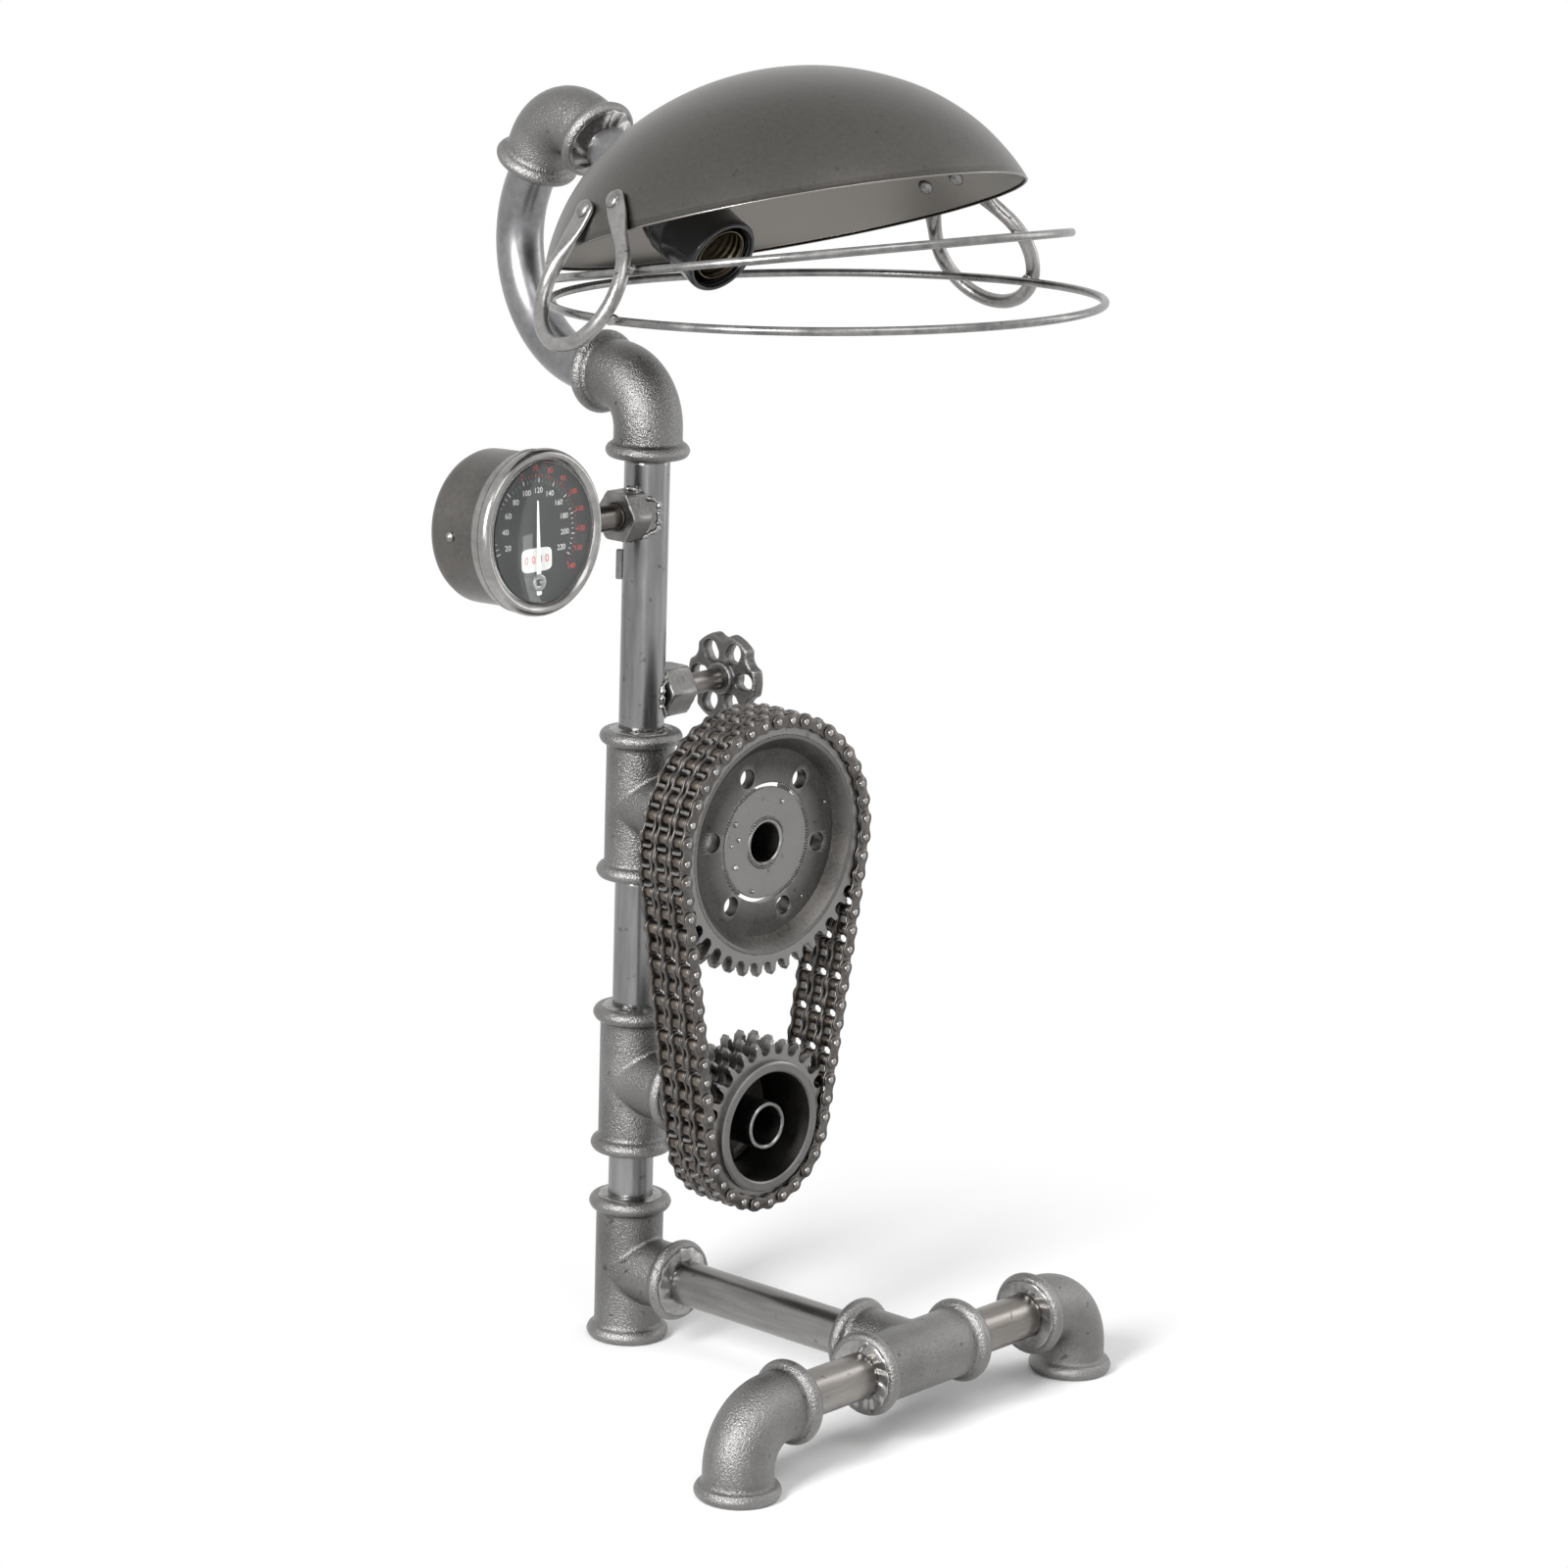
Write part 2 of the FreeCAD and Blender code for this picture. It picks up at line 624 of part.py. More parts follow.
sleeve_bore = cylinder("<holder_radius>-<holder_wall>", sleeve_length + "+2", V(0, 0, body_z - 1))
cut(sleeve, sleeve_bore, "lampholder_body", holder_place)
shell_end = val("holder_reach") - 2.0
shell_z = shell_end - val("shell_length")
ins_z = shell_z + val("shell_seat") - val("insulator_height")
recess_z = shell_z - free
pocket_z = recess_z - val("contact_sheet") - 2 * gap
insulator = cylinder("<holder_radius>-<holder_wall>-<seat_gap>", "<insulator_height>", V(0, 0, ins_z))
recess = cylinder("<shell_radius>+<seat_gap>", "<shell_seat>+<free_gap>+1", V(0, 0, recess_z))
pocket = cylinder("<contact_radius>+<seat_gap>", "<contact_sheet>+2", V(0, 0, pocket_z))
lead_hole = cylinder("<lead_hole_radius>", "<insulator_height>+2", V(0, 0, ins_z - 1))
cut(insulator, fuse([recess, pocket, lead_hole]), "lampholder_insulator", holder_place)
shell_out = cylinder("<shell_radius>", "<shell_length>", V(0, 0, shell_z))
shell_in = cylinder("<shell_radius>-<shell_sheet>", "<shell_length>+2", V(0, 0, shell_z - 1))
cut(shell_out, shell_in, "lampholder_screw_shell", holder_place)
contact = cylinder("<contact_radius>", "<contact_sheet>", V(0, 0, pocket_z + gap))
finish(contact, "lampholder_contact", holder_place * contact.Placement)

# Chain drive geometry in the drive plane: local y sideways, z up.
pitch = val("chain_pitch")
n1 = int(val("upper_teeth"))
n2 = int(val("lower_teeth"))
r1 = 0.5 * pitch / math.sin(math.pi / n1)
r2 = 0.5 * pitch / math.sin(math.pi / n2)
top_z = upper_tee_z - val("drive_drop")
low_z = mid_tee_z - val("drive_drop")
spacing = top_z - low_z
wrap = math.asin((r1 - r2) / spacing)
run = spacing * math.cos(wrap) / pitch
upper_quarter = (math.pi / 2 + wrap) * n1 / (2 * math.pi)
lower_arc = (math.pi - 2 * wrap) * n2 / (2 * math.pi)
total = 2 * upper_quarter + 2 * run + lower_arc
links = 2 * int(round(total / 2))
stretch = total / links


def chain_point(s):
    """Point and travel angle of the chain, s pitches past the top."""
    s = s % total
    right = V(0, math.cos(wrap), -math.sin(wrap))
    left = V(0, -math.cos(wrap), -math.sin(wrap))
    top = V(0, 0, top_z)
    low = V(0, 0, low_z)
    if s <= upper_quarter:
        a = math.pi / 2 - s * 2 * math.pi / n1
        return top + V(0, math.cos(a), math.sin(a)) * r1
    s -= upper_quarter
    if s <= run:
        a = top + right * r1
        b = low + right * r2
        return a + (b - a) * (s / run)
    s -= run
    if s <= lower_arc:
        a = -wrap - s * 2 * math.pi / n2
        return low + V(0, math.cos(a), math.sin(a)) * r2
    s -= lower_arc
    if s <= run:
        a = low + left * r2
        b = top + left * r1
        return a + (b - a) * (s / run)
    s -= run
    a = math.pi + wrap - s * 2 * math.pi / n1
    return top + V(0, math.cos(a), math.sin(a)) * r1


pins = [chain_point((val("chain_phase") + k) * stretch) for k in range(links)]
chain_x = val("chain_reach")
strand = val("strand_pitch")
half_in = val("inner_width") / 2
in_t = val("inner_plate")
out_t = val("outer_plate")
half_h = val("plate_half_height")


def prism(points, x0, x1):
    """A plate with the given outline in the drive plane."""
    wire = Part.makePolygon([V(x0, p.y, p.z) for p in points] + [V(x0, points[0].y, points[0].z)])
    return Part.Face(wire).extrude(V(x1 - x0, 0, 0))


def plate_outline(a, b, ends, shoulder):
    """Six sided outline of a link plate over two pins."""
    along = (b - a).normalize()
    across = V(0, -along.z, along.y)
    return [
        a - along * ends,
        a + along * shoulder + across * half_h,
        b - along * shoulder + across * half_h,
        b + along * ends,
        b - along * shoulder - across * half_h,
        a + along * shoulder - across * half_h,
    ]


def bar_outline(a, b, inset):
    """Four sided outline of a plate between two rollers."""
    along = (b - a).normalize()
    across = V(0, -along.z, along.y) * (half_h * 0.9)
    return [a + along * inset + across, b - along * inset + across, b - along * inset - across, a + along * inset - across]


outer_links = []
inner_links = []
rollers = []
heads = []
first = chain_x - strand - half_in
last = chain_x + strand + half_in
end_reach = 0.45 * pitch
for k in range(links):
    a = pins[k]
    b = pins[(k + 1) % links]
    shoulder = -0.12 * pitch
    if k % 2 == 1:
        outline = plate_outline(a, b, end_reach, shoulder)
        outer_links.append(prism(outline, first - in_t - out_t, first - in_t))
        outer_links.append(prism(outline, last + in_t, last + in_t + out_t))
    else:
        outline = plate_outline(a, b, end_reach, shoulder)
        inner_links.append(prism(outline, first - in_t, first))
        inner_links.append(prism(outline, last, last + in_t))
    inset = val("roller_radius") + gap
    bar = bar_outline(a, b, inset)
    for between in (-0.5, 0.5):
        middle = chain_x + between * strand
        half = 0.5 * strand - half_in if k % 2 == 0 else 0.5 * strand - half_in - in_t
        (inner_links if k % 2 == 0 else outer_links).append(prism(bar, middle - half, middle + half))
    before = pins[k - 1]
    along = (b - before).normalize()
    across = V(0, -along.z, along.y)
    ring = [a + along * (val("roller_radius") * math.cos(t)) + across * (val("roller_radius") * math.sin(t)) for t in [math.radians(30 + 60 * i) for i in range(6)]]
    rollers.append(prism(ring, first, last))
    cap = [a + along * (val("pin_radius") * math.cos(t)) + across * (val("pin_radius") * math.sin(t)) for t in [math.radians(45 + 90 * i) for i in range(4)]]
    heads.append(prism(cap, last + in_t + out_t, last + in_t + out_t + val("pin_head")))
feature(Part.makeCompound(outer_links), "chain_outer_plates", drive)
feature(Part.makeCompound(inner_links), "chain_inner_plates", drive)
feature(Part.makeCompound(rollers), "chain_rollers", drive)
feature(Part.makeCompound(heads), "chain_pin_heads", drive)


# Sprockets: three toothed rows on one drum.
def toothed_row(teeth, pitch_r, centre_z, phase, x0, x1, bore):
    """One toothed plate: a flat bottomed gap for every roller."""
    points = []
    for k in range(teeth):
        a = phase + 2 * math.pi * k / teeth
        out = V(0, math.cos(a), math.sin(a))
        side = V(0, -math.sin(a), math.cos(a))
        foot = out * (pitch_r - val("tooth_depth") - gap)
        mouth = out * (pitch_r + val("tooth_rise"))
        points.append(mouth - side * val("gap_mouth"))
        points.append(foot - side * val("gap_foot"))
        points.append(foot + side * val("gap_foot"))
        points.append(mouth + side * val("gap_mouth"))
    centre = V(0, 0, centre_z)
    return prism([centre + p for p in points], x0, x1)


def disc(radius, x0, x1, centre_z):
    return Part.makeCylinder(radius, x1 - x0, V(x0, 0, centre_z), XAXIS)


upper_phase = math.pi / 2 - val("chain_phase") * 2 * math.pi / n1
first_low = upper_quarter + run
low_s = math.ceil(first_low / stretch - val("chain_phase")) + val("chain_phase")
lower_phase = -wrap - (low_s * stretch - first_low) * 2 * math.pi / n2
half_tooth = val("tooth_width") / 2
row_x = [chain_x - strand, chain_x, chain_x + strand]
front_x = row_x[2] + half_tooth
rear_x = row_x[0] - half_tooth

upper_drum = r1 - val("drum_step")
body = disc(upper_drum, rear_x, front_x, top_z)
for x in row_x:
    body = body.fuse(toothed_row(n1, r1, top_z, upper_phase, x - half_tooth, x + half_tooth, 0))
web_front = front_x - val("upper_web_set")
web_back = web_front - val("upper_web")
bevel = Part.makeCone(val("upper_rim_inner"), val("upper_rim_inner") + val("upper_bevel"), front_x - web_front, V(web_front, 0, top_z), XAXIS)
body = body.cut(bevel)
body = body.cut(disc(val("upper_rim_inner") + 1, rear_x - 1, web_back, top_z))
body = body.cut(disc(val("centre_bore_radius"), web_back - 1, web_front + 1, top_z))
for k in range(6):
    a = math.radians(val("web_hole_angle") + 60 * k)
    at = V(web_back - 1, math.cos(a) * val("web_hole_circle"), top_z + math.sin(a) * val("web_hole_circle"))
    body = body.cut(Part.makeCylinder(val("web_hole_radius"), val("upper_web") + 2, at, XAXIS))
feature(body.removeSplitter(), "upper_sprocket", drive)

lower_drum = r2 - val("drum_step")
body = disc(lower_drum, val("cup_back"), val("cup_rim"), low_z)
for x in row_x:
    body = body.fuse(toothed_row(n2, r2, low_z, lower_phase, x - half_tooth, x + half_tooth, 0))
cup_floor = val("cup_back") + val("cup_web")
body = body.cut(disc(val("cup_radius"), cup_floor, val("cup_rim") + 1, low_z))
body = body.cut(disc(val("hub_radius") + gap, val("cup_back") - 1, cup_floor + 1, low_z))
for angle in (35.0, 215.0):
    a = math.radians(angle)
    slit = Part.makeBox(val("cup_web") + 2, val("slit_length"), val("slit_width"), V(val("cup_back") - 1, -val("slit_length") / 2, val("slit_circle")))
    slit.rotate(V(0, 0, 0), XAXIS, angle)
    slit.translate(V(0, 0, low_z))
    body = body.cut(slit)
feature(body.removeSplitter(), "lower_sprocket", drive)

# Hub tubes from the tees' branches out to the sprockets.
hub_start = reach - val("pipe_engagement")
for label, end, z in (("upper_hub_tube", "upper_hub_end", top_z), ("lower_hub_tube", "lower_hub_end", low_z)):
    length = "<%s>-<fitting_reach>+<pipe_engagement>" % end
    outer = cylinder("<hub_radius>", length, V(hub_start, 0, z), XAXIS)
    inner = cylinder("<hub_radius>-<hub_wall>", length + "+2", V(hub_start - 1, 0, z), XAXIS)
    cut(outer, inner, label, drive)
# Plate welded into the upper sprocket's centre, round the hub tube.
plate_x = web_front - val("centre_disc_plate")
disc_outer = cylinder("<centre_disc_radius>", "<centre_disc_plate>", V(plate_x, 0, top_z), XAXIS)
disc_bore = cylinder("<hub_radius>+<seat_gap>", "<centre_disc_plate>+2", V(plate_x - 1, 0, top_z), XAXIS)
cut(disc_outer, disc_bore, "centre_disc", drive)
bridges = []
for start, sweep in ((-70.0, 100.0), (55.0, 20.0), (105.0, 60.0), (195.0, 40.0)):
    band = disc(val("centre_bore_radius") - gap, plate_x, web_front, top_z)
    band = band.cut(disc(val("centre_disc_radius") + gap, plate_x - 1, web_front + 1, top_z))
    wedge = Part.makeCylinder(val("centre_bore_radius") + 5, val("centre_disc_plate") + 2, V(plate_x - 1, 0, top_z), XAXIS, sweep)
    wedge.rotate(V(0, 0, top_z), XAXIS, start)
    bridges.append(band.common(wedge))
feature(Part.makeCompound(bridges), "centre_welds", drive)

# Gauge: case, bezel, glass, dial and needle, facing forward.
pitch_up = FreeCAD.Rotation(YAXIS, 90 - val("gauge_pitch_angle"))
gauge_z = top_mouth_z - val("gauge_drop")
gauge_at = V(val("dial_face"), -val("gauge_arm"), gauge_z)
gauge = FreeCAD.Placement(gauge_at, FreeCAD.Rotation(V(0, 0, 0), V(0, 1, 0), pitch_up.multVec(ZAXIS), "ZYX"))
# Local Z looks out of the dial, local Y to the object's right, dial face at 0.
bezel_front = val("glass_gap") + val("glass_plate") + 1.0
case_front = bezel_front - val("bezel_depth")
case_back = case_front - val("case_depth") + 4.0
case_outer = cylinder("<case_radius>", "<case_depth>", V(0, 0, case_back))
case_inner = cylinder("<case_radius>-<case_wall>", "<case_depth>", V(0, 0, case_back + val("case_wall")))
inside_case = cut(case_outer, case_inner)
stem_z = gauge_z - val("gauge_stem_drop")
stem_tool = solid(Part.makeCylinder(val("gauge_stem_radius") + gap, val("gauge_arm"), V(0, 0, stem_z), -YAXIS))
stem_tool.Placement = gauge.inverse() * stem_tool.Placement
screw_at = V(0, -val("case_radius") - val("case_screw_height") + 3.0, case_back + 0.45 * val("case_depth"))
screw_tool = cylinder("<case_screw_radius>+<seat_gap>", "6.0", V(0, -val("case_radius") + 3.0, screw_at.z), -YAXIS)
cut(inside_case, fuse([stem_tool, screw_tool]), "gauge_case", gauge)
screw = cylinder("<case_screw_radius>", "3.0+<case_screw_height>", V(0, -val("case_radius") + 3.0, screw_at.z), -YAXIS)
finish(screw, "case_screw", gauge * screw.Placement)
bezel_outer = cylinder("<case_radius>+<bezel_overhang>", "<bezel_depth>", V(0, 0, case_front))
bezel_seat = cylinder("<case_radius>+<seat_gap>", "<bezel_depth>-1.0", V(0, 0, case_front))
bezel_bore = cylinder("<case_radius>-<bezel_lip>", "<bezel_depth>+2", V(0, 0, case_front - 1))
cut(bezel_outer, fuse([bezel_seat, bezel_bore]), "gauge_bezel", gauge)
glass = cylinder("<case_radius>-<case_wall>-<seat_gap>", "<glass_plate>", V(0, 0, val("glass_gap")))
finish(glass, "gauge_glass", gauge * glass.Placement)
dial = cylinder("<case_radius>-<case_wall>-<free_gap>", "<dial_plate>", V(0, 0, -val("dial_plate")))
dial_radius = val("case_radius") - val("case_wall") - val("free_gap")
pivot_x = dial_radius - val("needle_edge")
needle_up = gauge.inverse().Rotation.multVec(ZAXIS)
low_dir = V(-needle_up.x, -needle_up.y, 0).normalize()
pivot = low_dir * pivot_x
finish(dial, "gauge_dial", gauge * dial.Placement)
needle_pin = cylinder("<needle_pin_radius>", "<glass_gap>-<free_gap>", pivot)
finish(needle_pin, "needle_pin", gauge * needle_pin.Placement)
hub_low = val("free_gap")
hub = Part.makeCylinder(val("needle_hub_radius"), val("needle_hub_height"), pivot + V(0, 0, hub_low))
across_dir = V(-low_dir.y, low_dir.x, 0)
up_dir = -low_dir
blade_z = hub_low + 0.5 * (val("needle_hub_height") - val("needle_sheet"))
blade_points = [
    pivot - up_dir * val("needle_tail") - across_dir * val("needle_half_width"),
    pivot - up_dir * val("needle_tail") + across_dir * val("needle_half_width"),
    pivot + up_dir * val("needle_length") + across_dir * val("needle_tip"),
    pivot + up_dir * val("needle_length") - across_dir * val("needle_tip"),
]
blade_wire = Part.makePolygon([p + V(0, 0, blade_z) for p in blade_points + blade_points[:1]])
blade = Part.Face(blade_wire).extrude(V(0, 0, val("needle_sheet")))
needle = hub.fuse(blade).cut(Part.makeCylinder(val("needle_pin_radius") + val("running_gap"), 8, pivot + V(0, 0, -2)))
feature(needle.removeSplitter(), "gauge_needle", gauge)


def hex_nut(label, length_text, z, side, bore_text):
    """A hexagon nut welded on the column, pointing sideways."""
    along = YAXIS * side
    at = V(0, side * val("nut_start"), z)
    block = new("Part::Prism", "Prism")
    block.Polygon = 6
    block.Placement = pose(at, along)
    bind(block, Circumradius="<nut_flats>/2/cos(30deg)", Height=length_text)
    bore = cylinder(bore_text, length_text + "+2", at - along, along)
    seat = cylinder("<pipe_radius>+<seat_gap>", "3*<nut_flats>", V(0, 0, z - 1.5 * val("nut_flats")))
    return cut(block, fuse([bore, seat]), label)


hex_nut("gauge_nut", "<gauge_nut_length>", stem_z, -1, "<gauge_stem_radius>+<seat_gap>")
stem_y0 = val("pipe_radius") + 1.0
gauge_stem = cylinder("<gauge_stem_radius>", "<gauge_arm>-0.55*<case_radius>-<pipe_radius>-1", V(0, -stem_y0, stem_z), -YAXIS)
finish(gauge_stem, "gauge_stem")

# Valve: nut on the column, a bush in it, a turning stem and a handwheel.
valve_z = upper_tee_z + reach + val("valve_rise")
hex_nut("valve_nut", "<valve_nut_length>", valve_z, 1, "<valve_stem_radius>+<running_gap>")
stem_start = val("pipe_radius") + 1.5
wheel_y = val("wheel_reach")
stem_core = cylinder("<valve_stem_radius>", "<wheel_reach>-<pipe_radius>-1.5", V(0, stem_start, valve_z), YAXIS)
collar_y = val("nut_start") + val("valve_nut_length") + val("free_gap")
collar = cylinder("<stem_collar_radius>", "<stem_collar_length>", V(0, collar_y, valve_z), YAXIS)
fuse([stem_core, collar], "valve_stem")
wheel_disc = cylinder("<wheel_radius>", "<wheel_thickness>", V(0, 0, -val("wheel_thickness") / 2))
wheel_hub = cylinder("<wheel_hub_radius>", "<wheel_hub_length>", V(0, 0, -val("wheel_hub_length") / 2 - 1))
wheel_cuts = []
for k in range(6):
    a = math.radians(60 * k)
    b = math.radians(60 * k + 30)
    hole_at = V(math.cos(a), math.sin(a), 0) * val("wheel_hole_circle") + V(0, 0, -10)
    scallop_at = V(math.cos(b), math.sin(b), 0) * val("wheel_scallop_circle") + V(0, 0, -10)
    wheel_cuts.append(cylinder("<wheel_hole_radius>", "20", hole_at))
    wheel_cuts.append(cylinder("<wheel_scallop_radius>", "20", scallop_at))
wheel_cuts.append(cylinder("<valve_stem_radius>+<seat_gap>", "<wheel_hub_length>/2+1+0.5*<wheel_hub_length>", V(0, 0, -val("wheel_hub_length") - 1)))
wheel_place = FreeCAD.Placement(V(0, wheel_y, valve_z), FreeCAD.Rotation(ZAXIS, YAXIS))
cut(fuse([wheel_disc, wheel_hub]), fuse(wheel_cuts), "handwheel", wheel_place)

# Short strip welded upright on the column.
strip_turn = FreeCAD.Rotation(ZAXIS, val("strip_angle"))
strip = new("Part::Box", "Box")
bind(strip, Length="<strip_width>", Width="<strip_width>", Height="<strip_length>")
strip_at = strip_turn.multVec(V(val("pipe_radius") + gap, -val("strip_width") / 2, 0)) + V(0, 0, top_mouth_z - val("strip_drop") - val("strip_length") / 2)
finish(strip, "column_strip", FreeCAD.Placement(strip_at, strip_turn))

doc.recompute()
for obj in doc.Objects:
    if "Invalid" in obj.State or "Error" in obj.State:
        raise RuntimeError("failed object " + obj.Name + " " + obj.Label)
for obj in nodes:
    shape = obj.Shape
    if shape.isNull() or not shape.isValid():
        raise RuntimeError("bad shape " + obj.Label)
    shape.exportStep("parts/" + obj.Label + ".step")
    box = shape.BoundBox
    print("%-24s solids %3d volume %9.0f  x %7.1f %7.1f  y %7.1f %7.1f  z %7.1f %7.1f" % (
        obj.Label, len(shape.Solids), shape.Volume, box.XMin, box.XMax, box.YMin, box.YMax, box.ZMin, box.ZMax))
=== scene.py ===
import math
import bpy
import bmesh
import numpy as np
from mathutils import Matrix, Vector


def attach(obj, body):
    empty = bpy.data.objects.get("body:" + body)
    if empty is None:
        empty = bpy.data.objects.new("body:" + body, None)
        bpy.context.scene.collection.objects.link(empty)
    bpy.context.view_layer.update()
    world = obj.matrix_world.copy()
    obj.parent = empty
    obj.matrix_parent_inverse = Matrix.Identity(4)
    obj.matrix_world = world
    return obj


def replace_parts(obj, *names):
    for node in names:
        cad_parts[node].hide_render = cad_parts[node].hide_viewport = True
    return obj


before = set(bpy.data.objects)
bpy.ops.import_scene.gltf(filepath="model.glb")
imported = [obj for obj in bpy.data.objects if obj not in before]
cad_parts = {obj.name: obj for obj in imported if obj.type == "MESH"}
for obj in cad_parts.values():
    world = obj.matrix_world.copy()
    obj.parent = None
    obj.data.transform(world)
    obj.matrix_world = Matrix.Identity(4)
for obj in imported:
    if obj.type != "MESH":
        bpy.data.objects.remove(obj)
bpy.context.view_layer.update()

# Cast fittings: tees and elbows with a rolled bead round every mouth.
# The metal is rough cast iron under a clear lacquer, dark in the hollows.
# Lengths are in metres, +Z up, +X along the foot's spine.


def shader(tree, kind, values=(), inputs=(), **options):
    """Adds a shader node and sets its options, its values and its links."""
    made = tree.nodes.new("ShaderNode" + kind)
    for key, value in options.items():
        setattr(made, key, value)
    for key, value in dict(values).items():
        made.inputs[key].default_value = value
    for key, socket in dict(inputs).items():
        tree.links.new(socket, made.inputs[key])
    return made


def noise_node(tree, scale, detail, stretch):
    """Noise over object coordinates, stretched by a mapping."""
    coords = shader(tree, "TexCoord")
    mapping = shader(tree, "Mapping", {"Scale": stretch}, {"Vector": coords.outputs["Object"]})
    noise = shader(tree, "TexNoise", {"Scale": scale, "Detail": detail},
        {"Vector": mapping.outputs["Vector"]})
    return noise.outputs["Fac"]


def ramp(tree, factor, low, dark, high, light):
    """Colour that goes from dark at low to light at high."""
    made = shader(tree, "ValToRGB", inputs={"Fac": factor})
    for k, (place, colour) in enumerate(((low, dark), (high, light))):
        made.color_ramp.elements[k].position = place
        made.color_ramp.elements[k].color = (*colour, 1)
    return made.outputs["Color"]


def steel(name, dark, light, rough, spread, grain, depth, patches=28.0,
          stretch=(1, 1, 1), metallic=1.0, edge=0.0, pits=0.0):
    """Worn metal: patchy colour and roughness, a fine grain in the bump and, where
    asked for, brighter edges (edge wear and a painted highlight) and small dark pits."""
    mat = bpy.data.materials.new(name)
    mat.use_nodes = True
    tree = mat.node_tree
    bsdf = tree.nodes["Principled BSDF"]
    bsdf.inputs["Metallic"].default_value = metallic
    patch = noise_node(tree, patches, 5.0, stretch)
    fine = noise_node(tree, grain, 3.0, stretch)
    scaled = shader(tree, "Math", {1: 0.65}, {0: patch}, operation="MULTIPLY")
    mix = shader(tree, "Math", {1: 0.35}, {0: fine, 2: scaled.outputs[0]}, operation="MULTIPLY_ADD")
    colour = ramp(tree, mix.outputs[0], 0.32, dark, 0.68, light)
    # Convex edges are lightened by pointiness: edge wear, and on the shade's rolled rim (edge=0.9) a painted
    # highlight.
    if edge > 0:
        geometry = shader(tree, "NewGeometry")
        sharp = ramp(tree, geometry.outputs["Pointiness"], 0.50, (0, 0, 0), 0.58, (edge,) * 3)
        edge_wear_and_highlight = shader(tree, "MixRGB", {"Color2": (0.62, 0.61, 0.60, 1)}, {"Fac": sharp, "Color1": colour})
        colour = edge_wear_and_highlight.outputs["Color"]
    if pits > 0:
        hole = ramp(tree, noise_node(tree, 210.0, 1.0, (1, 1, 1)), 0.70, (1, 1, 1), 0.76, (1 - pits,) * 3)
        darker = shader(tree, "MixRGB", {"Fac": 1.0}, {"Color1": colour, "Color2": hole},
            blend_type="MULTIPLY")
        colour = darker.outputs["Color"]
    span = {"From Min": 0.3, "From Max": 0.7, "To Min": rough - spread, "To Max": rough + spread}
    level = shader(tree, "MapRange", span, {"Value": patch})
    bump = shader(tree, "Bump", {"Strength": 1.0, "Distance": depth}, {"Height": fine})
    tree.links.new(colour, bsdf.inputs["Base Color"])
    tree.links.new(level.outputs["Result"], bsdf.inputs["Roughness"])
    tree.links.new(bump.outputs["Normal"], bsdf.inputs["Normal"])
    return mat


def bare(name, verts, faces):
    """A mesh object in the scene, as yet without material or body."""
    mesh = bpy.data.meshes.new(name)
    mesh.from_pydata([tuple(v) for v in verts], [], [tuple(f) for f in faces])
    obj = bpy.data.objects.new(name, mesh)
    bpy.context.scene.collection.objects.link(obj)
    return obj


def piece(name, verts, faces, material, slot, body="lamp", smooth=True):
    """A finished mesh object that rides on a body."""
    obj = bare(name, verts, faces)
    obj.data.polygons.foreach_set("use_smooth", [smooth] * len(obj.data.polygons))
    obj.data.materials.append(material)
    obj.data.update()
    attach(obj, body)
    return obj


def grid_faces(rows, columns, wrap_rows=False):
    """Quads of a grid whose columns wrap round, as vertex numbers."""
    faces = []
    last = rows if wrap_rows else rows - 1
    for i in range(last):
        a = i * columns
        b = ((i + 1) % rows) * columns
        for j in range(columns):
            k = (j + 1) % columns
            faces.append((a + j, a + k, b + k, b + j))
    return faces


def capped(rows, columns):
    """Quads of a tube of rings, with a flat face over each end."""
    base = (rows - 1) * columns
    ends = [tuple(range(columns))[::-1], tuple(range(base, base + columns))]
    return grid_faces(rows, columns) + ends


def joined(parts):
    """Verts and faces of several sets, with the faces renumbered."""
    verts = []
    faces = []
    base = 0
    for v, f in parts:
        verts.append(np.asarray(v))
        faces.extend([tuple(i + base for i in face) for face in f])
        base += len(v)
    return np.concatenate(verts), faces


def axes(along):
    """Two unit vectors square to a direction."""
    w = np.array(along, float)
    w /= np.linalg.norm(w)
    helper = np.array([0, 0, 1.0]) if abs(w[2]) < 0.9 else np.array([1.0, 0, 0])
    u = np.cross(helper, w)
    u /= np.linalg.norm(u)
    return u, np.cross(w, u), w


def circle(at, basis, turn, radius, height):
    """A ring of points about a line. Radius and height may vary round it."""
    u, v, w = basis
    across = np.outer(radius * np.cos(turn), u)
    return np.array(at) + across + np.outer(radius * np.sin(turn), v) + np.outer(height + 0 * turn, w)


def lathe(profile, at, along, count=64, lump=0.0, seed=0, closed=False):
    """Verts and faces of a profile (radius, height) turned about a line.
    A radius of zero closes the end with a pole. Lump adds slow waves."""
    basis = axes(along)
    rng = np.random.default_rng(seed)
    phases = rng.uniform(0, 2 * math.pi, 6)
    turn = np.linspace(0, 2 * math.pi, count, endpoint=False)
    verts = []
    for r, h in profile:
        wave = sum(np.sin(k * turn + phases[k - 1] + 300 * h) / k for k in range(2, 6))
        verts.append(circle(at, basis, turn, r + lump * wave * (r > 0), h))
    return np.concatenate(verts), grid_faces(len(profile), count, closed)


def weld(obj):
    """Merges poles and makes the faces point outwards."""
    bm = bmesh.new()
    bm.from_mesh(obj.data)
    bmesh.ops.remove_doubles(bm, verts=bm.verts, dist=1e-6)
    bmesh.ops.recalc_face_normals(bm, faces=bm.faces)
    bm.to_mesh(obj.data)
    bm.free()
    obj.data.update()
    return obj


def turned(name, profile, at, along, material, slot, body="lamp", count=64,
           lump=0.0, seed=0, closed=False):
    """A turned piece. Closed joins the profile's end to its start."""
    verts, faces = lathe(profile, at, along, count, lump, seed, closed)
    return weld(piece(name, verts, faces, material, slot, body))


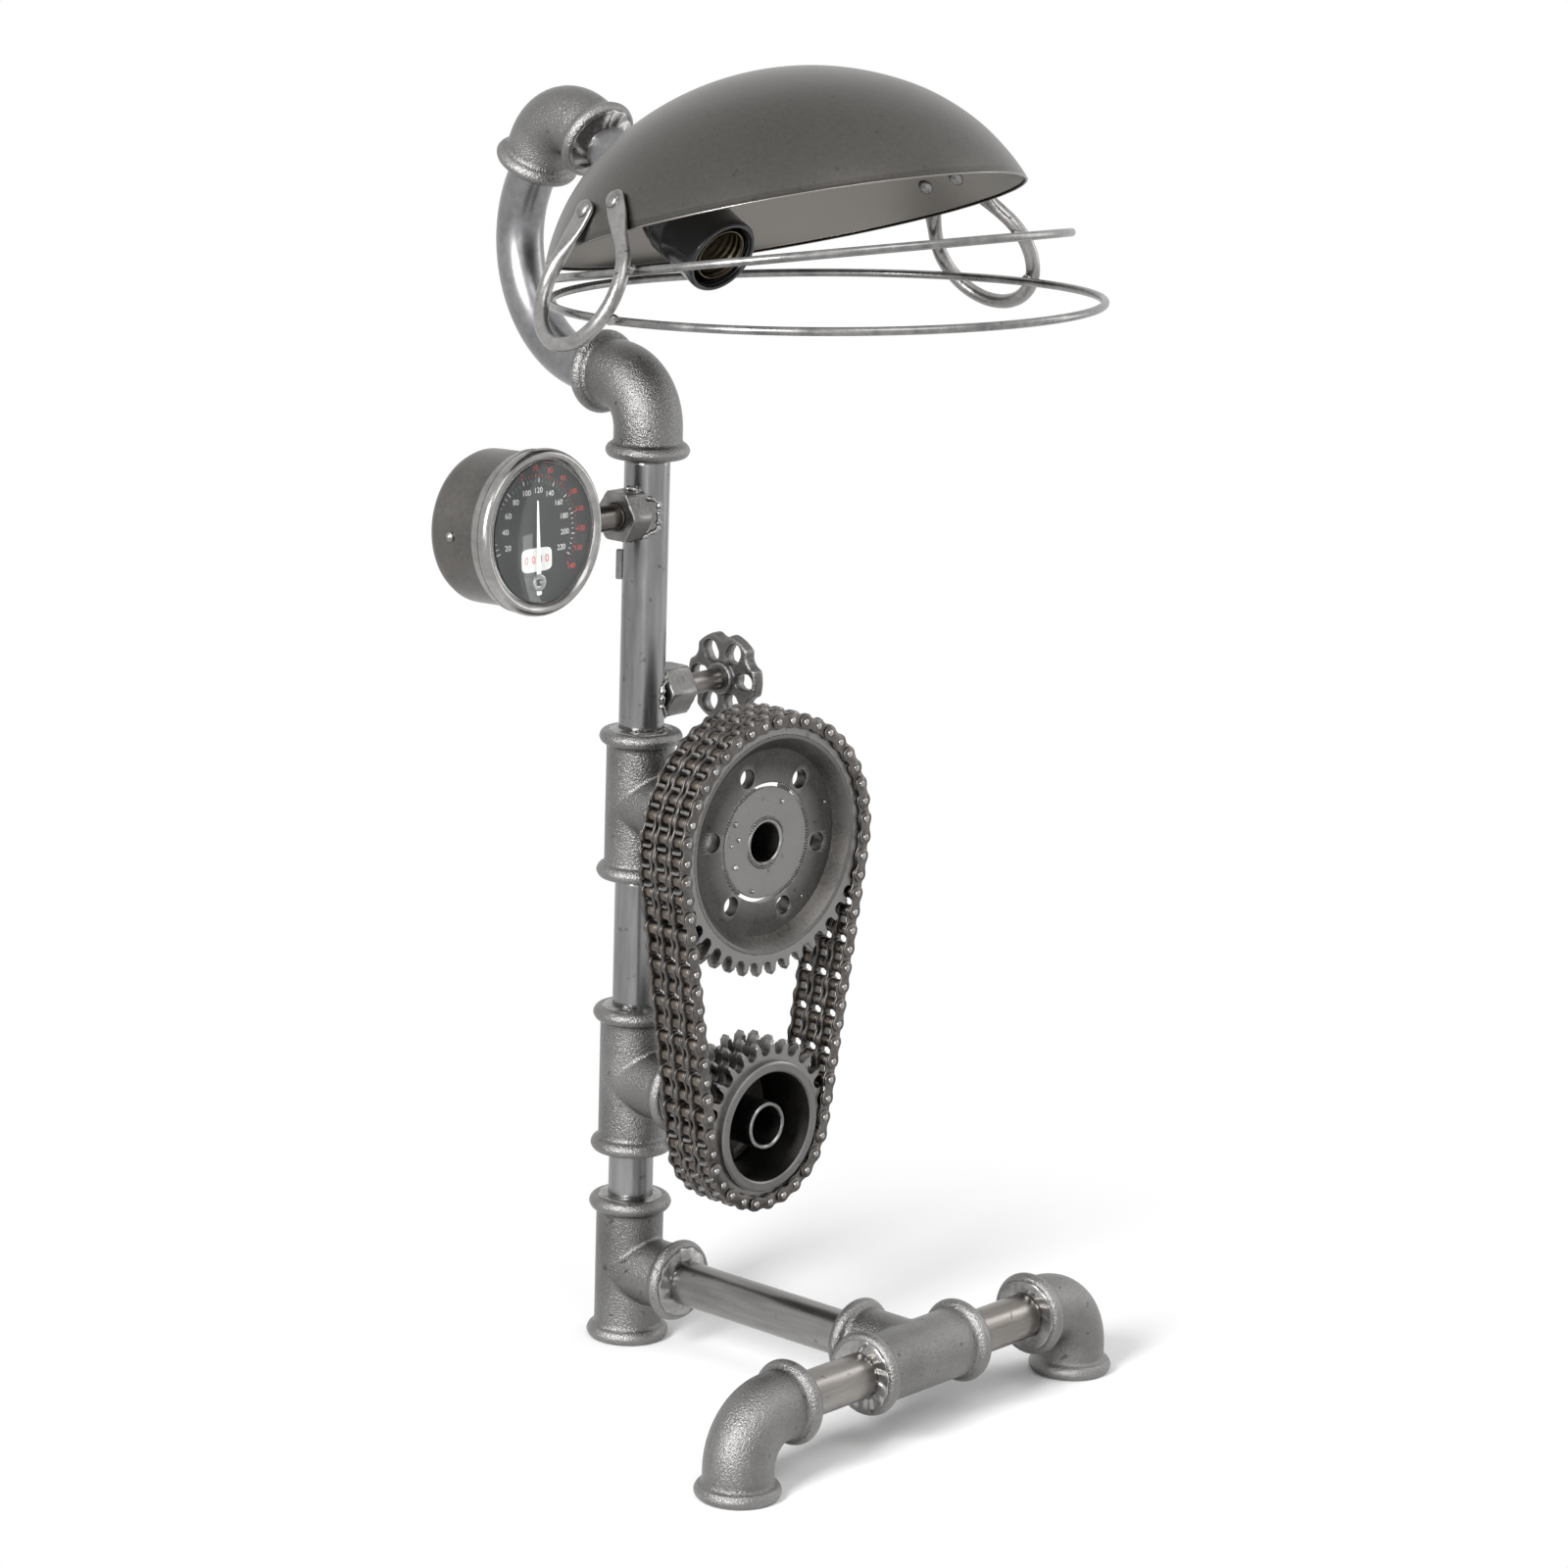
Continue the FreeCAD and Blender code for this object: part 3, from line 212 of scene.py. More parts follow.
def sweep_rings(path, radius, count):
    """Rings of a round rod along a path, carried without twist."""
    path = np.array(path, float)
    tangents = np.gradient(path, axis=0)
    tangents /= np.linalg.norm(tangents, axis=1)[:, None]
    u = axes(tangents[0])[0]
    turn = np.linspace(0, 2 * math.pi, count, endpoint=False)
    rings = []
    for point, t in zip(path, tangents):
        u = u - t * u.dot(t)
        u /= np.linalg.norm(u)
        rings.append(point + radius * (np.outer(np.cos(turn), u) + np.outer(np.sin(turn), np.cross(t, u))))
    return np.concatenate(rings)


def rod(name, path, radius, material, slot, count=64):
    """A round rod along a path, with flat ends."""
    return weld(piece(name, sweep_rings(path, radius, count), capped(len(path), count), material, slot))


def apply_modifiers(obj):
    """Bakes the modifiers into the mesh."""
    deps = bpy.context.evaluated_depsgraph_get()
    deps.update()
    baked = bpy.data.meshes.new_from_object(obj.evaluated_get(deps))
    old = obj.data
    obj.modifiers.clear()
    obj.data = baked
    bpy.data.meshes.remove(old)
    return obj


def soften(obj, voxel, passes):
    """Melts overlapping solids into one casting with rounded corners."""
    remesh = obj.modifiers.new("cast", "REMESH")
    remesh.mode = "VOXEL"
    remesh.voxel_size = voxel
    remesh.use_smooth_shade = True
    smooth = obj.modifiers.new("soft", "SMOOTH")
    smooth.factor = 0.5
    smooth.iterations = passes
    return apply_modifiers(obj)


def carve(obj, tools):
    """Cuts other meshes out of one and removes them."""
    for tool in tools:
        cut = obj.modifiers.new("cut", "BOOLEAN")
        cut.operation = "DIFFERENCE"
        cut.solver = "EXACT"
        cut.object = tool
    apply_modifiers(obj)
    for tool in tools:
        mesh = tool.data
        bpy.data.objects.remove(tool)
        bpy.data.meshes.remove(mesh)
    return obj


def tool_solid(profile, at, along, count=64):
    """A turned solid that only serves to cut."""
    return weld(bare("tool", *lathe(profile, at, along, count)))


cast = steel("cast_iron", (0.115, 0.112, 0.109), (0.25, 0.247, 0.243), 0.36, 0.06, 1100.0, 0.00055, 24.0,
    edge=0.35, pits=0.45)

REACH = 0.038
BEAD_R = 0.0211
BEAD_W = 0.007
NECK_R = 0.0172


def arm_profile(start):
    """Neck, then the bead: a half round band with a small flat face."""
    a = REACH - BEAD_W
    points = [(0, start), (NECK_R, start), (NECK_R, a - 0.0012), (NECK_R + 0.0008, a - 0.0002)]
    for k in range(9):
        t = -math.pi / 2 + math.pi * k / 8
        flat = abs(math.sin(t)) ** 3 * math.copysign(1, math.sin(t))
        points.append((BEAD_R - 0.0024 + 0.0024 * math.cos(t),
            a + BEAD_W / 2 + (BEAD_W / 2) * (0.55 * math.sin(t) + 0.45 * flat)))
    points.append((0, REACH))
    return points


def fitting(name, centre, arms, node, open_arms=()):
    """A casting with beaded arms. Two arms at a right angle get a round
    heel between them; three make a tee. Open mouths are bored out."""
    centre = np.array(centre, float)
    arms = [np.array(a, float) / np.linalg.norm(a) for a in arms]
    bend = 0.024
    start = -0.004
    parts = []
    if len(arms) == 2:
        corner = centre + bend * (arms[0] + arms[1])
        path = []
        for k in range(25):
            t = math.radians(90 * k / 24)
            path.append(corner - bend * (arms[1] * math.cos(t) + arms[0] * math.sin(t)))
        path = [path[0] + arms[0] * 0.002] + path + [path[-1] + arms[1] * 0.002]
        parts.append((sweep_rings(path, NECK_R, 48), capped(len(path), 48)))
        start = bend - 0.001
    parts += [lathe(arm_profile(start), centre, arm, 64, 0.00006, len(name)) for arm in arms]
    obj = weld(piece(name, *joined(parts), cast, "fitting"))
    soften(obj, 0.0008, 4)
    bore = 0.014 if len(arms) == 2 else 0.008
    mouth = [(0, bore), (0.0148, bore), (0.0152, REACH - 0.001), (0.0162, REACH + 0.001), (0,
        REACH + 0.001)]
    tools = [tool_solid(mouth, centre, arms[k]) for k in open_arms]
    if tools:
        carve(obj, tools)
        obj.data.polygons.foreach_set("use_smooth", [True] * len(obj.data.polygons))
    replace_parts(obj, node)
    return obj


SPINE_X = 0.1909
FOOT_Y = 0.1256
MID_Z = 0.1382
UPPER_Z = 0.2817
TOP_Z = 0.4956
DRIVE = math.radians(-3.0)
HEAD = math.radians(-6.0)
LEAN_DEG = 26.6
LEAN = math.radians(LEAN_DEG)
GOOSE_R = 0.060
TUBE_R = 0.012


def drive_point(x, y, z):
    """From the drive's own axes, turned about the column, to the frame's."""
    return np.array([x * math.cos(DRIVE) - y * math.sin(DRIVE), x * math.sin(DRIVE) + y * math.cos(DRIVE),
        z])


def head_point(x, y, z):
    """From the head's own axes, turned about the column, to the frame's."""
    return np.array([x * math.cos(HEAD) - y * math.sin(HEAD), x * math.sin(HEAD) + y * math.cos(HEAD), z])


fitting("rear_tee_cast", (0, 0, REACH), [(0, 0, -1), (0, 0, 1), (1, 0, 0)], "rear_tee", (0,))
fitting("front_tee_cast", (SPINE_X, 0, REACH), [(0, 1, 0), (0, -1, 0), (-1, 0, 0)], "front_tee")
fitting("left_foot_cast", (SPINE_X, -FOOT_Y, REACH), [(0, 0, -1), (0, 1, 0)], "left_foot_elbow", (0,))
fitting("right_foot_cast", (SPINE_X, FOOT_Y, REACH), [(0, 0, -1), (0, -1, 0)], "right_foot_elbow", (0,))
branch = drive_point(1, 0, 0)
fitting("mid_tee_cast", (0, 0, MID_Z), [(0, 0, -1), (0, 0, 1), branch], "mid_tee")
fitting("upper_tee_cast", (0, 0, UPPER_Z), [(0, 0, -1), (0, 0, 1), branch], "upper_tee")
fitting("top_elbow_cast", (0, 0, TOP_Z), [(0, 0, -1), -head_point(1, 0, 0)], "top_elbow")
up_lean = head_point(math.sin(LEAN), 0, math.cos(LEAN))
exit_dir = head_point(math.cos(LEAN), 0, -math.sin(LEAN))
goose_start = np.array([-0.042, TOP_Z])
goose_centre = goose_start + np.array([0, GOOSE_R])
goose_end = goose_centre + GOOSE_R * np.array([-math.cos(LEAN), math.sin(LEAN)])
shade_mouth = goose_end + 0.0099 * np.array([math.sin(LEAN), math.cos(LEAN)])
shade_corner = shade_mouth + REACH * np.array([math.sin(LEAN), math.cos(LEAN)])
exit_mouth = shade_corner + REACH * np.array([math.cos(LEAN), -math.sin(LEAN)])
wall_point = exit_mouth + 0.0413 * np.array([math.cos(LEAN), -math.sin(LEAN)])
fitting("shade_elbow_cast", head_point(shade_corner[0], 0, shade_corner[1]), [-up_lean, exit_dir],
    "shade_elbow")

# Pipes between the fittings: drawn steel tube, rubbed bright and lacquered.
# Faint streaks run along each pipe, with a few dark and a few rubbed spots.
# The gooseneck is bent tube of the same steel.


def pipe_material(name, stretch, dark=(0.17, 0.17, 0.17), light=(0.33, 0.33, 0.33)):
    return steel(name, dark, light, 0.29, 0.07, 300.0, 0.00004, 30.0, stretch, pits=0.35)


pipe_x = pipe_material("pipe_along_x", (0.12, 1, 1), (0.13, 0.125, 0.12), (0.33, 0.325, 0.32))
pipe_y = pipe_material("pipe_along_y", (1, 0.12, 1), (0.15, 0.135, 0.12), (0.31, 0.295, 0.28))
pipe_z = pipe_material("pipe_along_z", (1, 1, 0.12))
PIPE_R = 0.0114


def pipe(name, a, b, material, node, radius=PIPE_R):
    """A tube between two mouths, let 1 mm into each."""
    a = np.array(a, float)
    b = np.array(b, float)
    length = np.linalg.norm(b - a)
    steps = max(8, int(length / 0.004))
    profile = [(0, -0.001)] + [(radius,
        -0.001 + (length + 0.002) * k / steps) for k in range(steps + 1)] + [(0, length + 0.001)]
    obj = turned(name, profile, a, b - a, material, "pipe_steel", count=72, lump=0.00002, seed=len(name))
    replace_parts(obj, node)
    return obj


pipe("spine_tube", (REACH, 0, REACH), (SPINE_X - REACH, 0, REACH), pipe_x, "spine_pipe")
pipe("left_tube", (SPINE_X, -REACH, REACH), (SPINE_X, REACH - FOOT_Y, REACH), pipe_y, "left_nipple")
pipe("right_tube", (SPINE_X, REACH, REACH), (SPINE_X, FOOT_Y - REACH, REACH), pipe_y, "right_nipple")
pipe("lower_tube", (0, 0, 2 * REACH), (0, 0, MID_Z - REACH), pipe_z, "lower_nipple")
pipe("mid_tube", (0, 0, MID_Z + REACH), (0, 0, UPPER_Z - REACH), pipe_z, "mid_pipe")
pipe("column_tube", (0, 0, UPPER_Z + REACH), (0, 0, TOP_Z - REACH), pipe_z, "column_pipe")

neck = [(-0.037, TOP_Z), (-0.0395, TOP_Z)]
for k in range(49):
    t = math.radians((90 + LEAN_DEG) * k / 48)
    neck.append((goose_centre[0] - GOOSE_R * math.sin(t), goose_centre[1] - GOOSE_R * math.cos(t)))
neck += [tuple(goose_end + (shade_mouth - goose_end) * f) for f in (0.5, 1.0, 1.08)]
goose_steel = steel("bent_tube", (0.17, 0.17, 0.175), (0.30, 0.30, 0.305), 0.30, 0.06, 260.0, 0.00003, 22.0)
gooseneck = rod("gooseneck_tube", [head_point(x, 0, z) for x, z in neck], TUBE_R, goose_steel, "pipe_steel")
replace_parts(gooseneck, "gooseneck")
stub_a = head_point(exit_mouth[0], 0, exit_mouth[1])
stub_b = head_point(wall_point[0], 0, wall_point[1])
stub = rod("stub_tube", [stub_a + (stub_b - stub_a) * f for f in np.linspace(-0.03, 0.995, 12)], PIPE_R,
    goose_steel, "pipe_steel")
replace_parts(stub, "shade_stub")

# Weld metal in the mouths: a lumpy bright ring from each pipe out over the
# fitting's bore, with soft lumps round the ring and small pits in it.
weld_metal = steel("weld_metal", (0.20, 0.195, 0.19), (0.40, 0.395, 0.39), 0.32, 0.08, 420.0, 0.00018, 90.0,
    pits=0.8)


def weld_ring(name, mouth, along, inner, shift=(0, 0, 0), outer=0.0165, rise=0.0009, seed=0):
    """A fillet of weld: high against the pipe, thin at its outer edge."""
    basis = axes(along)
    mouth = np.array(mouth, float)
    shift = np.array(shift, float)
    rng = np.random.default_rng(seed)
    turn = np.linspace(0, 2 * math.pi, 120, endpoint=False)
    waves = [(rng.integers(1, 15), rng.uniform(0.5, 5), rng.uniform(0, 6.3), rng.uniform(0.4,
        1)) for _ in range(9)]
    verts = []
    for i, f in enumerate(np.linspace(0, 1, 15)):
        lumps = sum(g * np.sin(k * turn + q * f + p) for k, q, p, g in waves) / 4
        edge = outer + 0.0007 * lumps
        r = inner * 0.985 + (edge - inner * 0.985) * f
        slope = rise * (1 - f) ** 1.3 * (1.1 + 0.35 * lumps)
        height = slope + 0.0005 * (0.8 + 0.8 * lumps) * math.sin(math.pi * f) ** 0.6
        if i == 14:
            height = np.full_like(turn, -0.0004)
        verts.append(circle(mouth + shift * (1 - f), basis, turn, r, height))
    obj = piece(name, np.concatenate(verts), grid_faces(15, 120), weld_metal, "pipe_steel")
    if obj.data.polygons[0].normal.dot(Vector(basis[2])) < 0:
        obj.data.flip_normals()
    return obj


weld_ring("weld_rear_top", (0, 0, 2 * REACH), (0, 0, 1), PIPE_R, seed=1)
weld_ring("weld_rear_spine", (REACH, 0, REACH), (1, 0, 0), PIPE_R, outer=0.0178, rise=0.0016, seed=2)
weld_ring("weld_front_spine", (SPINE_X - REACH, 0, REACH), (-1, 0, 0), PIPE_R, seed=3)
weld_ring("weld_front_left", (SPINE_X, -REACH, REACH), (0, -1, 0), PIPE_R, outer=0.0178, rise=0.0012,
    seed=4)
weld_ring("weld_front_right", (SPINE_X, REACH, REACH), (0, 1, 0), PIPE_R, seed=5)
weld_ring("weld_foot_left", (SPINE_X, REACH - FOOT_Y, REACH), (0, 1, 0), PIPE_R, seed=6)
weld_ring("weld_foot_right", (SPINE_X, FOOT_Y - REACH, REACH), (0, -1, 0), PIPE_R, outer=0.0178, seed=7)
weld_ring("weld_mid_bottom", (0, 0, MID_Z - REACH), (0, 0, -1), PIPE_R, seed=8)
weld_ring("weld_mid_top", (0, 0, MID_Z + REACH), (0, 0, 1), PIPE_R, seed=9)
weld_ring("weld_upper_bottom", (0, 0, UPPER_Z - REACH), (0, 0, -1), PIPE_R, seed=10)
weld_ring("weld_upper_top", (0, 0, UPPER_Z + REACH), (0, 0, 1), PIPE_R, seed=11)
weld_ring("weld_elbow_bottom", (0, 0, TOP_Z - REACH), (0, 0, -1), PIPE_R, seed=12)
weld_ring("weld_elbow_back", head_point(-REACH, 0, TOP_Z), -head_point(1, 0, 0), TUBE_R, seed=13)
weld_ring("weld_shade_elbow", head_point(shade_mouth[0], 0, shade_mouth[1]), -up_lean, TUBE_R, seed=14)
weld_ring("weld_shade_exit", stub_a, exit_dir, PIPE_R, outer=0.0185, rise=0.0030, seed=15)
weld_ring("weld_hub_upper", drive_point(REACH, 0, UPPER_Z), branch, TUBE_R, (0, 0, -0.003), outer=0.0175,
    rise=0.0015, seed=16)
weld_ring("weld_hub_lower", drive_point(REACH, 0, MID_Z), branch, TUBE_R, (0, 0, -0.003), outer=0.0178,
    rise=0.0018, seed=17)

# The shade: a spun dome of thin brushed steel, round in plan, with a low
# crown and a tight shoulder down to a rolled rim. It leans forward on the
# stub, and its crown points up and back.
DOME = math.radians(17.3)
rim_centre = np.array([0.0965, 0.5842])
dome_e = np.array([math.cos(DOME), math.sin(DOME)])
dome_n = np.array([-math.sin(DOME), math.cos(DOME)])
dome_up = head_point(dome_n[0], 0, dome_n[1])
dome_fore = head_point(dome_e[0], 0, dome_e[1])
dome_side = head_point(0, 1, 0)
rim_origin = head_point(rim_centre[0], 0, rim_centre[1])


def dome_point(x, y, z):
    """From the dome's own axes (forward, sideways, up the crown)."""
    return rim_origin + x * dome_fore + y * dome_side + z * dome_up


def dome_profile(inset):
    """Crown arc of radius 139.8 mm about 67.6 mm below the rim plane, then a
    shoulder arc of 106.2 mm that meets it without a corner, down to the rim."""
    points = []
    crown_angle = math.radians(30.6)
    crown = 0.1398 - inset
    for k in range(22):
        a = crown_angle * k / 21
        points.append((crown * math.sin(a), -0.0676 + crown * math.cos(a)))
    shoulder = 0.10618 - inset
    end = math.acos(min(1.0, (0.116 - 0.0171) / 0.10618))
    for k in range(1, 41):
        a = math.pi / 2 - crown_angle + (end - (math.pi / 2 - crown_angle)) * k / 40
        points.append((0.0171 + shoulder * math.cos(a), -0.03866 + shoulder * math.sin(a)))
    return points


outside = dome_profile(0.0)
inside = dome_profile(0.0012)
rim = outside[-1]
edge = [(rim[0] - 0.0006 + 0.0007 * math.cos(t),
    rim[1] + 0.0001 - 0.0007 * math.sin(t)) for t in np.linspace(0.2, math.pi - 0.2, 7)]
shade_profile = outside + edge + inside[::-1]
# The dark outer colour is painted shade, standing for the dark reflection on the crown; edge=0.9 paints a
# highlight on the rolled rim.
dome_steel = steel("brushed_dome", (0.070, 0.066, 0.060), (0.104, 0.098, 0.090), 0.33, 0.04, 420.0, 0.00003,
    6.0, edge=0.9, pits=0.25)
tree = dome_steel.node_tree
bsdf = tree.nodes["Principled BSDF"]
# Faces turned away from the crown (the inner face) get a lighter colour: painted light on the inside of the
# same steel sheet.
coords = shader(tree, "TexCoord")
facing = shader(tree, "VectorMath", {1: tuple(dome_up)}, {0: coords.outputs["Normal"]},
    operation="DOT_PRODUCT")
under = shader(tree, "MapRange", {"From Min": 0.05, "From Max": -0.05}, {"Value": facing.outputs["Value"]})
outer_colour = bsdf.inputs["Base Color"].links[0].from_socket
painted_light_inside = shader(tree, "MixRGB", {"Color2": (0.225, 0.213, 0.196, 1)}, {"Fac": under.outputs["Result"],
    "Color1": outer_colour})
tree.links.new(painted_light_inside.outputs["Color"], bsdf.inputs["Base Color"])
shade = turned("shade_dome", shade_profile, rim_origin, dome_up, dome_steel, "shade_steel", count=256,
    lump=0.00004, seed=3)
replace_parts(shade, "shade")

# Loop handles: bent rod on each side of the shade, with flattened ends that
# lie on the dome and a domed rivet through each end.
rod_steel = steel("bent_rod", (0.19, 0.185, 0.18), (0.37, 0.36, 0.35), 0.32, 0.07, 420.0, 0.00012, 60.0,
    pits=0.6)
WALL = 0.1090
RIVET_Z = 0.0145
FLARE = math.radians(27)
STEEP = math.radians(30)


def loop_point(side, along, down, out=0.0):
    """Along the dome, down the flared loop and out from it. Side is -1 on
    the left and 1 on the right."""
    drop_y = math.sin(FLARE)
    drop_z = -math.cos(FLARE)
    out_y = math.cos(FLARE)
    out_z = math.sin(FLARE)
    base_y = WALL + 0.00155 * math.cos(STEEP)
    base_z = RIVET_Z + 0.00155 * math.sin(STEEP)
    y = base_y + down * drop_y + out * out_y
    z = base_z + down * drop_z + out * out_z
    return dome_point(-0.003 + along, side * y, z)


def smooth_step(x, a, b):
    t = min(1.0, max(0.0, (x - a) / (b - a)))
    return t * t * (3 - 2 * t)


def loop_path(side):
    """Centre line in the loop's plane, as (along, down): the front rivet, a
    straight leg, a round bottom of radius 29 mm and the leg back up."""
    bend = 0.029
    low = 0.041
    start = np.array([0.011, 0.0])
    centre = np.array([0.0, low])
    gap = start - centre
    swing = math.acos(bend / np.linalg.norm(gap))
    a0 = math.atan2(gap[1], gap[0]) + swing
    touch = centre + bend * np.array([math.cos(a0), math.sin(a0)])
    lead = (start - touch) / np.linalg.norm(start - touch)
    leg = [start + lead * 0.005 + (touch - start - lead * 0.005) * f for f in np.linspace(0, 1, 30)]
    arc = [centre + bend * np.array([math.cos(a), math.sin(a)]) for a in np.linspace(a0, math.pi - a0,
        61)[1:-1]]
    mirror = [np.array([-p[0], p[1]]) for p in leg[::-1]]
    return np.array(leg + arc + mirror)


def loop_handle(name, side, node):
    """Rod of 7 mm whose ends flatten to 3 by 12 mm where they are riveted:
    each ring is an ellipse that grows wide and thin towards the ends."""
    path = loop_path(side)
    steps = np.linalg.norm(np.diff(path, axis=0), axis=1)
    run = np.concatenate([[0], np.cumsum(steps)])
    tangent = np.gradient(path, axis=0)
    tangent /= np.linalg.norm(tangent, axis=1)[:, None]
    turn = np.linspace(0, 2 * math.pi, 28, endpoint=False)
    rng = np.random.default_rng(7 + side)
    wobble = np.cumsum(rng.normal(0, 0.00003, len(path)))
    wobble -= np.linspace(wobble[0], wobble[-1], len(path))
    verts = []
    for i, (p, t) in enumerate(zip(path, tangent)):
        s = min(run[i], run[-1] - run[i])
        flat = 1 - smooth_step(s, 0.012, 0.034)
        tip = math.sqrt(max(0.02, 1 - max(0.0, 1 - s / 0.0045) ** 2))
        wide = (0.0035 + 0.0024 * flat) * (tip if s < 0.0045 else 1)
        thick = 0.0035 - 0.0019 * flat
        lift = -0.0004 * flat + wobble[i]
        across = np.array([-t[1], t[0]])
        power = 1 - 0.35 * flat
        c = np.sign(np.cos(turn)) * np.abs(np.cos(turn)) ** power
        d = np.sign(np.sin(turn)) * np.abs(np.sin(turn)) ** power
        for ca, da in zip(c, d):
            q = p + across * (wide * ca)
            verts.append(loop_point(side, q[0], q[1], lift + thick * da))
    obj = weld(piece(name, verts, capped(len(path), 28), rod_steel, "rod_steel"))
    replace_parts(obj, node)
    return path


def mesh_sum(name, parts, material, slot, body="lamp", smooth=True):
    """One piece from several sets of verts and faces."""
    return weld(piece(name, *joined(parts), material, slot, body, smooth))


loop_lines = {}
for side, label in ((-1, "left"), (1, "right")):
    path = loop_handle(label + "_loop_rod", side, label + "_loop")
    loop_lines[side] = np.array([loop_point(side, p[0], p[1]) for p in path])
head_profile = [(0.0, 0.0020), (0.0012, 0.0019), (0.0026, 0.0016), (0.0036, 0.0011), (0.0042, 0.0005),
    (0.0044, -0.0001), (0.0043, -0.0006), (0.0, -0.0006)]
tail_profile = [(0.0, 0.0022), (0.0014, 0.0021), (0.0030, 0.0017), (0.0040, 0.0009), (0.0043, -0.0002),
    (0.0042, -0.0010), (0.0, -0.0010)]
rivet_parts = []
for side in (-1, 1):
    outward = dome_point(0, side * math.cos(STEEP), math.sin(STEEP)) - rim_origin
    for along in (-0.011, 0.011):
        seat = dome_point(-0.003 + along, side * (WALL + 0.0028 * math.cos(STEEP)),
            RIVET_Z + 0.0028 * math.sin(STEEP))
        rivet_parts.append(lathe(head_profile, seat, outward, 36, 0.00008, 20 + int(along * 1000) + side))
        under = dome_point(-0.003 + along, side * (WALL - 0.0012 * math.cos(STEEP)),
            RIVET_Z - 0.0012 * math.sin(STEEP))
        rivet_parts.append(lathe(tail_profile, under, -outward, 30, 0.00008, 20 + int(along * 1000) - side))
rivet_steel = steel("rivet_steel", (0.17, 0.165, 0.16), (0.33, 0.325, 0.32), 0.32, 0.07, 500.0, 0.00010,
    150.0)
rivets = mesh_sum("domed_rivets", rivet_parts, rivet_steel, "rod_steel")
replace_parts(rivets, "loop_rivets")

# Two guard hoops of 4 mm wire run round under the rim, welded to the loops.
wire_steel = steel("hoop_wire", (0.15, 0.15, 0.15), (0.30, 0.295, 0.29), 0.30, 0.07, 240.0, 0.00004, 60.0,
    pits=0.4)
hoop_lines = {}
for label, radius, ahead, drop, lift in (("upper", 0.122, 0.0195, 0.0136, 10.1), ("lower", 0.131, 0.0297,
    0.0337, 2.4)):
    a = math.radians(lift)
    cx = rim_centre[0] + ahead
    cz = rim_centre[1] - drop
    ring = []
    for t in np.linspace(0, 2 * math.pi, 192, endpoint=False):
        f = radius * math.cos(t)
        ring.append(head_point(cx + f * math.cos(a), radius * math.sin(t), cz + f * math.sin(a)))
    hoop_lines[label] = np.array(ring)
    verts = []
    for k, t in enumerate(np.linspace(0, 2 * math.pi, 192, endpoint=False)):
        f = np.array([math.cos(t) * math.cos(a), math.sin(t), math.cos(t) * math.sin(a)])
        up = np.array([-math.sin(a), 0, math.cos(a)])
        for q in np.linspace(0, 2 * math.pi, 18, endpoint=False):
            p = np.array([cx, 0, cz]) + f * (radius + 0.002 * math.cos(q)) + up * (0.002 * math.sin(q))
            verts.append(head_point(*p))
    hoop = weld(piece(label + "_hoop_wire", verts, grid_faces(192, 18, True), wire_steel, "rod_steel"))
    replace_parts(hoop, label + "_hoop")


def blob(centre, size, seed, stretch=(1, 1, 1)):
    """A small lump of weld: a sphere pushed in and out by slow waves."""
    rng = np.random.default_rng(seed)
    f = rng.uniform(0, 2 * math.pi, 4)
    verts = []
    for i in range(1, 12):
        b = math.pi * i / 12
        for j in range(20):
            a = 2 * math.pi * j / 20
            r = 1 + 0.16 * math.sin(2 * a + f[0]) * math.sin(b)
            r = r + 0.12 * math.sin(3 * b + f[1])
            r = r + 0.09 * math.sin(4 * a + 3 * b + f[2]) * math.sin(b)
            d = np.array([math.sin(b) * math.cos(a), math.sin(b) * math.sin(a), math.cos(b)])
            verts.append(np.array(centre) + size * r * d * np.array(stretch))
    return np.array(verts), capped(11, 20)


studs = []
for label in ("upper", "lower"):
    for side in (-1, 1):
        half = loop_lines[side][: len(loop_lines[side]) // 2]
        gaps = np.linalg.norm(half[:, None, :] - hoop_lines[label][None, :, :], axis=2)
        i, j = np.unravel_index(np.argmin(gaps), gaps.shape)
        near = half[i] + (hoop_lines[label][j] - half[i]) * 0.62
        studs.append(blob(near, 0.0027, int(i + j), (1.15, 1.0, 0.9)))
        if label == "lower":
            back_half = loop_lines[side][len(loop_lines[side]) // 2:]
            gaps = np.linalg.norm(back_half[:, None, :] - hoop_lines[label][None, :, :], axis=2)
            i, j = np.unravel_index(np.argmin(gaps), gaps.shape)
            if gaps[i, j] < 0.0085:
                studs.append(blob(back_half[i] + (hoop_lines[label][j] - back_half[i]) * 0.62, 0.0025,
                    int(i)))
stud_obj = mesh_sum("hoop_weld_lumps", studs, weld_metal, "rod_steel")
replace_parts(stud_obj, "hoop_welds")

# The lampholder screws on a nipple through the dome: black moulded plastic,
# a tapered cap with ribs, a straight skirt, and a dark screw shell inside.
black = steel("black_plastic", (0.007, 0.007, 0.008), (0.014, 0.014, 0.015), 0.20, 0.06, 300.0, 0.00003,
    90.0, metallic=0.0)
ceramic = steel("ceramic", (0.62, 0.60, 0.56), (0.74, 0.72, 0.68), 0.42, 0.08, 500.0, 0.00004, 120.0,
    metallic=0.0)
brass = steel("holder_brass", (0.09, 0.075, 0.05), (0.20, 0.17, 0.12), 0.30, 0.08, 400.0, 0.00004, 90.0)
wall = head_point(wall_point[0], 0, wall_point[1])


def ribbed(profile, count, ribs, depth, at, along, phase=0.0):
    """A lathe whose radius carries narrow raised ribs round it."""
    basis = axes(along)
    turn = np.linspace(0, 2 * math.pi, count, endpoint=False)
    verts = []
    for r, h, k in profile:
        rib = np.clip(np.cos(ribs * (turn - phase)) * 6 - 4.6, 0, 1) * depth * k
        verts.append(circle(at, basis, turn, r + rib * (r > 0), h))
    return np.concatenate(verts), grid_faces(len(profile), count, True)


